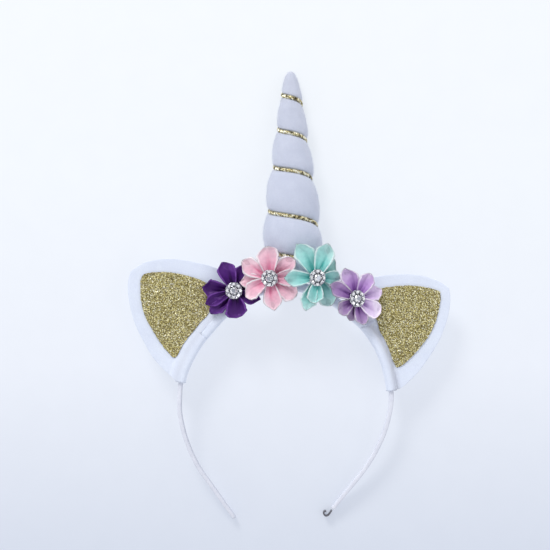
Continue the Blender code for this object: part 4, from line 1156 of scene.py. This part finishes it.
# %% Satin for the petals
def petal_satin(flower):
    """Satin with painted shade toward the button and in folds, and painted highlight along the rolled
    rim.
    """
    mat, tree, shader = start_material(flower["name"] + "_satin", 0.30, Sheen_Weight=0.05,
                                       Sheen_Roughness=0.3, Specular_IOR_Level=0.45)
    shader.inputs["Specular Tint"].default_value = (*flower["gloss"], 1.0)
    place = object_coordinates(tree)
    uv = add_node(tree, "ShaderNodeUVMap", {"uv_map": "petal"})
    split = add_node(tree, "ShaderNodeSeparateXYZ", Vector=uv.outputs["UV"])
    tone = add_node(tree, "ShaderNodeAttribute", {"attribute_name": "tone"})
    # Painted highlight toward the tip: the face colour is mixed toward the rim colour.
    outward = ramp(tree, split.outputs["Y"], [(0.35, (0.0, 0.0, 0.0)), (0.95, (0.32, 0.32, 0.32))])
    color = mixed(tree, outward, flower["face"], flower["rim"])
    # Painted highlight on turned-over patches.
    color = mixed(tree, stored(tree, "pale"), color, flower["rim"])
    # Painted shade in the folds and near the button.
    color = mixed(tree, stored(tree, "fold"), color, flower["deep"])
    # Painted highlight along the rolled rims, patchy.
    rim = ramp(tree, split.outputs["X"], [(0.78, (0.0, 0.0, 0.0)), (0.89, (1.0, 1.0, 1.0))])
    patchy = ramp(tree, cloudy(tree, place, 240.0, 1.0), [(0.36, (0.45, 0.45, 0.45)),
                                                          (0.56, (1.0, 1.0, 1.0))])
    rim = mixed(tree, 1.0, rim, patchy, "MULTIPLY")
    color = mixed(tree, rim, color, flower["rim"])
    # Painted shade: each petal's stored tone.
    color = mixed(tree, 1.0, color, tone.outputs["Color"], "MULTIPLY")
    silk = cloudy(tree, place, 420.0, 3.0)
    shade = ramp(tree, silk, [(0.3, (0.86, 0.86, 0.88)), (0.65, (1.0, 1.0, 1.0))])
    painted(tree, shader, mixed(tree, 1.0, color, shade, "MULTIPLY"))
    soft = bumped(tree, shader, silk, 0.3, 0.0004)
    satin_weave(tree, shader, place, 1700.0, 0.00004, soft)
    return mat


# %% One folded petal
PETAL_ALONG = 25
PETAL_ACROSS = 27
PETAL_START = 2.6
DROOP_RADIUS = 18.0
# Painted shade for each layer of points: the front sheet's top and underside, then the back sheet's.
LAYER_PAINTED_SHADE = (1.0, 0.9, 0.86, 0.8)


def stack_back(flower, x, z):
    """Depth of the flower's sloping back at a place in the front view."""
    return (flower["back"] + flower["slope_x"] * (x - flower["x"])
            + flower["slope_z"] * (z - flower["z"]))


def petal_width(share, blunt):
    """Share of the petal's full width along its length: gathered, full, then pointed or blunt."""
    at = np.array([0.0, 0.22, 0.46, 17 / 24, 0.80, 0.90, 0.96, 1.0])
    pointed = np.interp(share, at, [0.40, 0.64, 0.88, 1.0, 0.72, 0.38, 0.16, 0.02])
    rounded = np.interp(share, at, [0.40, 0.66, 0.90, 1.0, 0.97, 0.80, 0.55, 0.12])
    return pointed + (rounded - pointed) * blunt


def folded_petal(flower, index, petal, mat):
    """One petal: a front sheet with its folds and a back sheet that shows past its rim."""
    reach = petal["reach"]
    a = math.radians(petal["angle"])
    base = (2 - petal["layer"]) * PETAL_STEP
    bowl = petal["bowl"] * (1.15 if petal["layer"] == 0 else 0.8)
    share = np.linspace(0.0, 1.0, PETAL_ALONG)[:, None]
    cross = np.linspace(-1.0, 1.0, PETAL_ACROSS)[None, :]
    cross = 0.55 * cross + 0.45 * np.sin(cross * math.pi / 2)
    along = PETAL_START + (reach - PETAL_START) * share + 0 * cross
    phase = index * 1.9 + len(flower["name"])
    lopsided = 0.30 * math.sin(phase * 2.7)
    full = np.where(cross > 0, petal_width(share, petal["blunt"] + lopsided),
                    petal_width(share, petal["blunt"] - lopsided)) * petal["wide"] * 1.12
    full = full * (1 + 0.05 * np.sin(share * 26 + phase) * np.clip((share - 0.5) / 0.2, 0, 1))
    sideways = petal["skew"] * petal["wide"] * np.clip((share - 0.45) / 0.55, 0, 1) ** 1.6
    points, uv, painted_fold_shade = [], [], []
    corner = 1 if math.sin(phase * 3.7 + 0.6) > 0 else -1
    bend_at = 0.66 + 0.06 * math.sin(phase * 2.1)
    beyond = np.clip(0.50 * corner * cross + 1.7 * (share - bend_at), 0, None)
    # Painted highlight on the corner that bends over, plus any that the petal's row adds.
    pale = np.clip(beyond / 0.16, 0, 1) * (0.15 + 0.12 * math.sin(phase * 1.3))
    pale = pale + petal.get("pale", 0.0)
    for sheet, grow in ((0, 0.0), (1, 0.30)):
        wide = (full + grow * np.clip(share * 3, 0, 1)) * cross + sideways
        run = along + grow * 0.8 * share * (1 - np.abs(cross)) ** 0.5
        x = flower["x"] + run * math.cos(a) - wide * math.sin(a)
        z = flower["z"] + run * math.sin(a) + wide * math.cos(a)
        y = stack_back(flower, x, z) - base - (run ** 2 + wide ** 2) / DROOP_RADIUS ** 2
        body = np.clip(share / 0.4, 0, 1) ** 0.8
        if sheet == 0:
            tipness = np.clip((share - 0.62) / 0.38, 0, 1) ** 1.4
            edge = np.maximum(np.abs(cross), tipness)
            bead = 0.32 * np.exp(-((np.abs(cross) - 0.90) / 0.07) ** 2) * np.clip(share * 4, 0, 1)
            roll = -0.35 * np.clip((np.abs(cross) - 0.94) / 0.06, 0, 1) ** 2
            gather = np.clip(1 - share / 0.70, 0, 1) ** 1.1
            pinch = np.sin(cross * 8.5 + phase)
            line = cross - 0.30 * math.sin(phase) - 0.25 * share * math.cos(phase * 1.7)
            crease = np.exp(-(line / 0.13) ** 2) * np.clip(1.3 - share * 1.2, 0, 1)
            facet = np.where(line > 0, 0.45 + 0.65 * math.sin(phase * 1.1) ** 2,
                             0.45 + 0.65 * math.cos(phase * 1.1) ** 2) * np.abs(line) * body
            wave = 0.26 * np.sin(cross * 3.1 + share * 6 + phase) * body
            bent = -1.9 * beyond * np.clip(share * 2, 0, 1)
            height = (bowl * edge ** 2.6 * body + bead + roll + 0.42 * pinch * gather
                      - 0.55 * crease * body + facet + wave + bent)
            top, under = y - 0.55 - height, y - 0.25 - height
            # Painted shade near the button, in the gathers and creases, and down the valley.
            folds = np.clip(1 - share / 0.46, 0, 1) * 0.85 * (1 - 0.45 * np.abs(cross))
            folds = folds + 0.42 * gather * np.clip(-pinch, 0, 1)
            folds = folds + 0.55 * crease * np.clip(1.1 - share, 0, 1)
            valley = petal["bowl"] * 0.22 * np.clip(1 - edge ** 2 * 1.4, 0, 1) * body
            folds = np.clip(folds + valley - 0.12, 0, 1)
        else:
            curl = height * np.clip(edge, 0, 1) ** 2.2 - 0.05
            top, under = y - 0.18 - curl, y - curl
            # A little painted shade all over the back sheet.
            folds = 0.15 + 0 * top
        painted_fold_shade += [folds, folds]
        for layer in (top, under):
            points.append(np.stack((x, layer, z), axis=-1).reshape(-1, 3))
            uv.append(np.column_stack((np.maximum(edge, 0.0 if sheet == 0 else 0.7).ravel(),
                                       (share + 0 * cross).ravel())))
    total = PETAL_ALONG * PETAL_ACROSS
    faces = []
    for sheet in (0, 1):
        top, under = 2 * sheet * total, (2 * sheet + 1) * total
        faces += grid_faces(PETAL_ALONG, PETAL_ACROSS, offset=top)
        faces += grid_faces(PETAL_ALONG, PETAL_ACROSS, offset=under)
        loop = (list(range(PETAL_ACROSS))
                + [c * PETAL_ACROSS + PETAL_ACROSS - 1 for c in range(1, PETAL_ALONG)]
                + [(PETAL_ALONG - 1) * PETAL_ACROSS + r for r in range(PETAL_ACROSS - 2, -1, -1)]
                + [c * PETAL_ACROSS for c in range(PETAL_ALONG - 2, 0, -1)])
        for p, q in zip(loop, loop[1:] + loop[:1]):
            faces.append((top + p, top + q, under + q, under + p))
    obj = make_piece(f"{flower['name']}_folded_petal_{index + 1}", np.concatenate(points), faces, mat)
    store_uv(obj.data, "petal", np.concatenate(uv))
    # Painted shade by layer and petal, painted shade in folds, and painted highlight.
    store(obj.data, "tone", np.repeat(LAYER_PAINTED_SHADE, total) * petal["tone"])
    store(obj.data, "fold", np.concatenate([d.ravel() for d in painted_fold_shade]))
    store(obj.data, "pale", np.tile(np.clip(pale, 0, 1).ravel(), len(LAYER_PAINTED_SHADE)))
    reworked(obj.data)
    return obj


petals = {}
for flower in FLOWERS:
    mat = petal_satin(flower)
    for index, petal in enumerate(PETALS[flower["name"]]):
        petals[f"{flower['name']}_petal_{index + 1}"] = folded_petal(flower, index, petal, mat)
print("petals:", len(petals), "with", sum(len(p.data.polygons) for p in petals.values()), "faces")

# %% [markdown]
# ## Rhinestone buttons
# Each flower's middle is a metal cup with a ring of small foil-backed stones round a large one. A
# stone's sparkle comes from its facets, so a round cut is modelled once with a table, two rings of
# crown facets and a girdle. Each facet also gets a painted reflection, a stored tone from black to
# white that its colour follows. Geometry Nodes set eight small ones round a circle, and the
# finished ring is moved to each flower, turned to face along that flower's own slope.

# %% Stone and metal materials
crystal, tree, shader = start_material("crystal_stone", 0.04, Metallic=0.55, Coat_Weight=1.0,
                                       Coat_Roughness=0.02, Specular_IOR_Level=0.8)
# Painted reflections: each facet's stored tone picks a colour from near-black to white.
painted_sparkle = ramp(tree, stored(tree, "facet"), [(0.0, (0.02, 0.02, 0.03)), (0.35, (0.20, 0.21, 0.25)),
                                           (0.6, (0.75, 0.78, 0.85)), (1.0, (1.0, 1.0, 1.0))])
painted(tree, shader, painted_sparkle)
bumped(tree, shader, cloudy(tree, object_coordinates(tree), 500.0, 1.0), 0.05, 0.0001)

silver, tree, shader = start_material("silver_setting", 0.2, Metallic=1.0)
wear_and_painted_shade = cloudy(tree, object_coordinates(tree), 1200.0, 3.0)
painted(tree, shader, ramp(tree, wear_and_painted_shade, [(0.3, (0.34, 0.34, 0.38)), (0.7, (0.80, 0.80, 0.85))]))
bumped(tree, shader, wear_and_painted_shade, 0.3, 0.00006)


# %% A cut stone
def cut_stone_mesh(name, radius, height, sides_count, seed):
    """A round cut standing on its girdle: facets down from a flat table, each with its own painted
    reflection tone.
    """
    rng = np.random.default_rng(seed)
    bm = bmesh.new()
    rings = []
    for size, level, shift in ((0.82, 0.0, 0.0), (1.0, 0.22, 0.0), (1.0, 0.34, 0.0),
                               (0.80, 0.68, 0.5), (0.55, 1.0, 0.0)):
        turns = [2 * math.pi * (k + shift) / sides_count for k in range(sides_count)]
        rings.append([bm.verts.new((radius * size * math.cos(t), radius * size * math.sin(t),
                                    height * level)) for t in turns])
    for low, high, shifted in zip(rings, rings[1:], (False, False, True, True)):
        for k in range(sides_count):
            m = (k + 1) % sides_count
            if not shifted:
                bm.faces.new((low[k], low[m], high[m], high[k]))
            elif high is rings[3]:
                bm.faces.new((low[k], low[m], high[k]))
                bm.faces.new((low[m], high[m], high[k]))
            else:
                bm.faces.new((low[k], high[m], high[k]))
                bm.faces.new((low[k], low[m], high[m]))
    bm.faces.new(rings[0])
    bm.faces.new(rings[-1])
    bmesh.ops.recalc_face_normals(bm, faces=bm.faces)
    mesh = bpy.data.meshes.new(name)
    bm.to_mesh(mesh)
    bm.free()
    # Painted reflections: a random dark or bright tone for each facet.
    painted_reflections = rng.choice([0.0, 0.15, 0.45, 0.75, 1.0, 1.0], len(mesh.polygons))
    store(mesh, "facet", painted_reflections, "FACE")
    mesh.materials.append(crystal)
    return linked(name, mesh)


small_stone = cut_stone_mesh("small_stone", 1.36 * MM, 1.15 * MM, 8, 5)
prong_bm = bmesh.new()
bmesh.ops.create_uvsphere(prong_bm, u_segments=10, v_segments=8, radius=0.42 * MM)
prong_mesh = bpy.data.meshes.new("prong")
prong_bm.to_mesh(prong_mesh)
prong_bm.free()
prong_mesh.materials.append(silver)
prong_mesh.shade_smooth()
prong = linked("prong", prong_mesh)

# %% The ring of stones by Geometry Nodes
STONES_ROUND = 8
tree, given, ends = start_tree("stone_ring", [
    ("Stone", "NodeSocketObject"), ("Prong", "NodeSocketObject"), ("Stones", "NodeSocketInt"),
    ("Ring Radius", "NodeSocketFloat"), ("Prong Radius", "NodeSocketFloat"),
    ("Lean", "NodeSocketFloat")])


def ring_of(tree, which, radius, offset, lean):
    """Instances of an object round a circle, each turned to face outward by its place."""
    circle = add_node(tree, "GeometryNodeMeshCircle", Vertices=given["Stones"], Radius=radius)
    turned = add_node(tree, "GeometryNodeTransform", Geometry=circle.outputs["Mesh"])
    turned.inputs["Rotation"].default_value = (0.0, 0.0, offset)
    info = add_node(tree, "GeometryNodeObjectInfo", Object=which)
    where = add_node(tree, "GeometryNodeInputPosition")
    split = add_node(tree, "ShaderNodeSeparateXYZ", Vector=where.outputs["Position"])
    round_angle = worked_out(tree, "ARCTAN2", split.outputs["Y"], split.outputs["X"])
    turn = add_node(tree, "ShaderNodeCombineXYZ", Y=lean, Z=round_angle)
    return add_node(tree, "GeometryNodeInstanceOnPoints", Points=turned.outputs["Geometry"],
                    Instance=info.outputs["Geometry"],
                    Rotation=turn.outputs["Vector"]).outputs["Instances"]


stones_round = ring_of(tree, given["Stone"], given["Ring Radius"], 0.0, given["Lean"])
prongs_round = ring_of(tree, given["Prong"], given["Prong Radius"], math.pi / STONES_ROUND, 0.0)
both = add_node(tree, "GeometryNodeJoinGeometry")
for part in (stones_round, prongs_round):
    tree.links.new(part, both.inputs["Geometry"])
real = add_node(tree, "GeometryNodeRealizeInstances", Geometry=both.outputs["Geometry"])
tree.links.new(real.outputs["Geometry"], ends["Geometry"])

seed_mesh = bpy.data.meshes.new("ring_seed")
seed_mesh.from_pydata([(0, 0, 0)], [], [])
ring_seed = linked("ring_seed", seed_mesh)
stone_ring = grown("stone_ring", ring_seed, tree, {
    "Stone": small_stone, "Prong": prong, "Stones": STONES_ROUND, "Ring Radius": 3.75 * MM,
    "Prong Radius": 4.75 * MM, "Lean": 0.30}, keep_source=False)
print("ring of stones:", len(stone_ring.data.polygons), "faces")


# %% Buttons on the flowers
def button_frame(flower):
    """Directions out of, across and up a button, in worn coordinates."""
    out = Vector((-flower["slope_x"], 1.0, -flower["slope_z"])).normalized() * -1
    across = Vector((0, 0, 1)).cross(out).normalized()
    return out, across, out.cross(across)


def worn_to_laid(v):
    """A worn direction in the lying frame."""
    return Vector((v.x, v.z, -v.y))


def joined(name, parts, place):
    """One object from meshes placed alike, keeping their materials and their facets' painted reflection
    tones.
    """
    bm = bmesh.new()
    mats = []
    facet = bm.faces.layers.float.new("facet")
    for mesh in parts:
        piece = bmesh.new()
        piece.from_mesh(mesh)
        tone = piece.faces.layers.float.get("facet")
        local = list(mesh.materials)
        for m in local:
            if m not in mats:
                mats.append(m)
        corner = {v: bm.verts.new(place @ v.co) for v in piece.verts}
        for f in piece.faces:
            new = bm.faces.new([corner[v] for v in f.verts])
            new.material_index = mats.index(local[f.material_index]) if local else 0
            new.smooth = f.smooth
            new[facet] = f[tone] if tone is not None else 0.5
        piece.free()
    mesh = bpy.data.meshes.new(name)
    bm.to_mesh(mesh)
    bm.free()
    for m in mats:
        mesh.materials.append(m)
    return linked(name, mesh)


def cup_mesh(shank_length):
    """A turned metal cup with a scalloped rim on a short shank."""
    profile = [(0.0, -shank_length), (2.0, -shank_length), (2.2, -shank_length + 0.3), (2.2, -0.35),
               (2.6, -0.05), (3.9, 0.0), (4.4, 0.12), (4.85, 0.45), (5.05, 0.85), (5.0, 1.15),
               (4.75, 1.25), (4.5, 1.1), (4.3, 0.8), (2.5, 0.75), (2.45, 1.3), (2.2, 1.45),
               (1.9, 1.3), (0.0, 1.3)]
    count = 64
    points = []
    for radius, level in profile:
        for k in range(count):
            t = 2 * math.pi * k / count
            scallop = 1 + (0.028 * math.cos(STONES_ROUND * t + math.pi) if radius > 4.3 else 0.0)
            points.append((radius * scallop * math.cos(t) * MM, radius * scallop * math.sin(t) * MM,
                           level * MM))
    faces = grid_faces(len(profile), count, close_rows=True)
    mesh = bpy.data.meshes.new("cup")
    mesh.from_pydata(points, [], [list(f) for f in faces])
    reworked(mesh, merging(MERGE_REACH / 2))
    mesh.shade_smooth()
    mesh.materials.append(silver)
    return mesh


large_stone = cut_stone_mesh("large_stone", 2.3 * MM, 1.6 * MM, 10, 9)
buttons, centre_stones = {}, {}
for flower in FLOWERS:
    out, across, up = (worn_to_laid(v) for v in button_frame(flower))
    face_y = flower["back"] - 2 * PETAL_STEP - 0.7 - GAP
    place = np.eye(4)
    place[:3, :3] = np.column_stack((across, up, out))
    place[:3, 3] = (flower["x"] * MM, flower["z"] * MM, -face_y * MM)
    placed = Matrix(place.tolist())
    shank = abs(face_y - flower["rest"]) * 0.86
    stones = stone_ring.data.copy()
    stones.transform(Matrix.Translation((0, 0, 0.85 * MM)))
    name = flower["name"]
    buttons[name] = joined(name + "_stone_ring", [cup_mesh(shank), stones], placed)
    centre_stones[name] = joined(name + "_large_stone", [large_stone.data],
                                 placed @ Matrix.Translation((0, 0, 1.5 * MM)))
for helper in (small_stone, prong, stone_ring, large_stone):
    bpy.data.objects.remove(helper, do_unlink=True)
print("buttons:", len(buttons))

# %% [markdown]
# ## Pile on the plush
# Even a short plush has loose fibres, which soften its outline. Geometry Nodes scatter fine
# three-sided hairs over the horn, each leaning its own way. They are under a millimetre long, so the
# swells and grooves stay clear, and only the edge of the horn turns soft.

# %% Plush fibres
tree, given, ends = start_tree("plush_pile", [
    ("Density", "NodeSocketFloat"), ("Length", "NodeSocketFloat"), ("Thickness", "NodeSocketFloat"),
    ("Lean", "NodeSocketFloat"), ("Seed", "NodeSocketInt"), ("Material", "NodeSocketMaterial")])
scatter = add_node(tree, "GeometryNodeDistributePointsOnFaces", Mesh=given["Geometry"],
                   Density=given["Density"], Seed=given["Seed"])
hair = add_node(tree, "GeometryNodeMeshCone", {"fill_type": "NONE"}, Vertices=3,
                Radius_Bottom=given["Thickness"], Depth=given["Length"])
hair.inputs["Radius Top"].default_value = 0.000008
lean = add_node(tree, "FunctionNodeRandomValue", {"data_type": "FLOAT_VECTOR"}, Seed=4)
lean.inputs[0].default_value = (-1.0, -1.0, -3.1)
lean.inputs[1].default_value = (1.0, 1.0, 3.1)
leaned = add_node(tree, "ShaderNodeVectorMath", {"operation": "MULTIPLY"}, i0=lean.outputs[0])
lean_vector = add_node(tree, "ShaderNodeCombineXYZ", X=given["Lean"], Y=given["Lean"], Z=1.0)
tree.links.new(lean_vector.outputs["Vector"], leaned.inputs[1])
turned = add_node(tree, "FunctionNodeRotateEuler", {"space": "LOCAL"},
                  Rotation=scatter.outputs["Rotation"], Rotate_By=leaned.outputs["Vector"])
hairs = add_node(tree, "GeometryNodeInstanceOnPoints", Points=scatter.outputs["Points"],
                 Instance=hair.outputs["Mesh"], Rotation=turned.outputs["Rotation"],
                 Scale=random_number(tree, 0.4, 1.2, 9))
finish_tree(tree, ends, hairs.outputs["Instances"], given["Material"])
pile = grown("horn_plush_pile", horn, tree, {
    "Density": 2.6e6, "Length": 0.9 * MM, "Thickness": 0.03 * MM, "Lean": 0.9, "Seed": 2,
    "Material": fibre_white})
print("plush fibres:", len(pile.data.polygons), "faces")

# %% [markdown]
# ## Floor and light
# A plain studio ground: pale, slightly blue and brightest at the top left, with very soft shadows.
# Most of that is painted light: the ground glows by itself, brighter toward the top, and the glow
# thins the shadows. One large lamp above the top left corner adds the rest. The sky is bright low
# down and darker overhead, so the gold and the stones have something dark to mirror.

# %% Floor
FLOOR_Z = -0.0182
FLOOR_REACH = 4
floor_mat, tree, shader = start_material("studio_floor", 0.8, Specular_IOR_Level=0.1,
                                         Emission_Strength=1.0)
place = object_coordinates(tree)
paper = ramp(tree, cloudy(tree, place, 60.0, 5.0), [(0.3, (0.315, 0.322, 0.335)),
                                                    (0.7, (0.325, 0.332, 0.345))])
painted(tree, shader, paper)
# Painted light: the floor glows, more toward the top of the picture.
up_floor = add_node(tree, "ShaderNodeSeparateXYZ", Vector=place)
glow_place = add_node(tree, "ShaderNodeMapRange", Value=up_floor.outputs["Y"], From_Min=-0.16,
                      From_Max=0.17)
painted_floor_glow = ramp(tree, glow_place.outputs["Result"], [
    (0.0, (0.375, 0.415, 0.505)), (0.35, (0.535, 0.565, 0.63)),
    (0.7, (0.585, 0.615, 0.65)), (1.0, (0.60, 0.625, 0.645))])
tree.links.new(painted_floor_glow, shader.inputs["Emission Color"])
floor_mesh = bpy.data.meshes.new("studio_floor")
floor_mesh.from_pydata([(x * FLOOR_REACH, y * FLOOR_REACH, FLOOR_Z)
                        for x, y in ((-1, -1), (1, -1), (1, 1), (-1, 1))], [], [(0, 1, 2, 3)])
floor_mesh.materials.append(floor_mat)
floor = linked("studio_floor", floor_mesh)

# %% Lights
world = bpy.data.worlds.new("studio")
bpy.context.scene.world = world
world.use_nodes = True
tree = world.node_tree
background = tree.nodes["Background"]
sky = add_node(tree, "ShaderNodeTexCoord")
split = add_node(tree, "ShaderNodeSeparateXYZ", Vector=sky.outputs["Generated"])
tree.links.new(ramp(tree, split.outputs["Z"], [(0.0, (0.98, 0.99, 1.0)), (0.55, (0.93, 0.94, 0.98)),
                                               (0.85, (0.66, 0.68, 0.73)), (1.0, (0.52, 0.54, 0.58))]),
               background.inputs["Color"])
background.inputs["Strength"].default_value = 0.86


def soft_lamp(name, place, target, size, power, color):
    """A round area lamp aimed at a place."""
    lamp = bpy.data.lights.new(name, "AREA")
    lamp.shape = "DISK"
    lamp.size = size
    lamp.energy = power
    lamp.color = color
    obj = linked(name, lamp)
    obj.location = place
    obj.rotation_mode = "QUATERNION"
    obj.rotation_quaternion = (Vector(target) - Vector(place)).to_track_quat("-Z", "Y")
    return obj


key_lamp = soft_lamp("key_lamp", (-0.9, 1.9, 1.7), (0.0, 0.05, 0.0), 0.9, 31.0, (1.0, 0.985, 0.97))
fill_lamp = soft_lamp("fill_lamp", (0.8, -0.3, 1.4), (0.0, 0.0, 0.0), 0.9, 2.0, (0.95, 0.97, 1.0))
scene = bpy.context.scene
scene.view_settings.view_transform = "Standard"
scene.view_settings.look = "None"
scene.view_settings.exposure = 0.0
print("lights:", key_lamp.name, fill_lamp.name)

# %% [markdown]
# ## Fitting the pieces to the imported model
# Each dressed piece rides on the body and replaces its plain solid, which is hidden.

# %% Ride and replace
SLOTS = {
    "ribbon_wrapped_band": (band, "ribbon_white"), "bare_steel_end": (steel_end, "bare_steel"),
    "crown_felt_sleeve": (sleeve, "felt_white"), "stuffed_horn": (horn, "horn_plush"),
    "horn_gold_cord": (gold_cord, "gold_cord"), "left_ear_felt": (ears["left"], "felt_white"),
    "right_ear_felt": (ears["right"], "felt_white"), "left_ear_glitter": (panels["left"], "glitter_gold"),
    "right_ear_glitter": (panels["right"], "glitter_gold"),
}
for flower in FLOWERS:
    name = flower["name"]
    SLOTS[name + "_button_setting"] = (buttons[name], "silver_setting")
    SLOTS[name + "_centre_stone"] = (centre_stones[name], "crystal_stone")
    for index in range(len(PETALS[name])):
        SLOTS[f"{name}_petal_{index + 1}"] = (petals[f"{name}_petal_{index + 1}"], name + "_satin")
for node, (piece, slot) in SLOTS.items():
    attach(piece, "root")
    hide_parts(node)
for piece, slot in ((pile, "horn_plush"), (flakes["left"], "glitter_gold"),
                    (flakes["right"], "glitter_gold")):
    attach(piece, "root")

for flower in FLOWERS:
    for index, petal in enumerate(PETALS[flower["name"]]):
        piece = petals[f"{flower['name']}_petal_{index + 1}"]
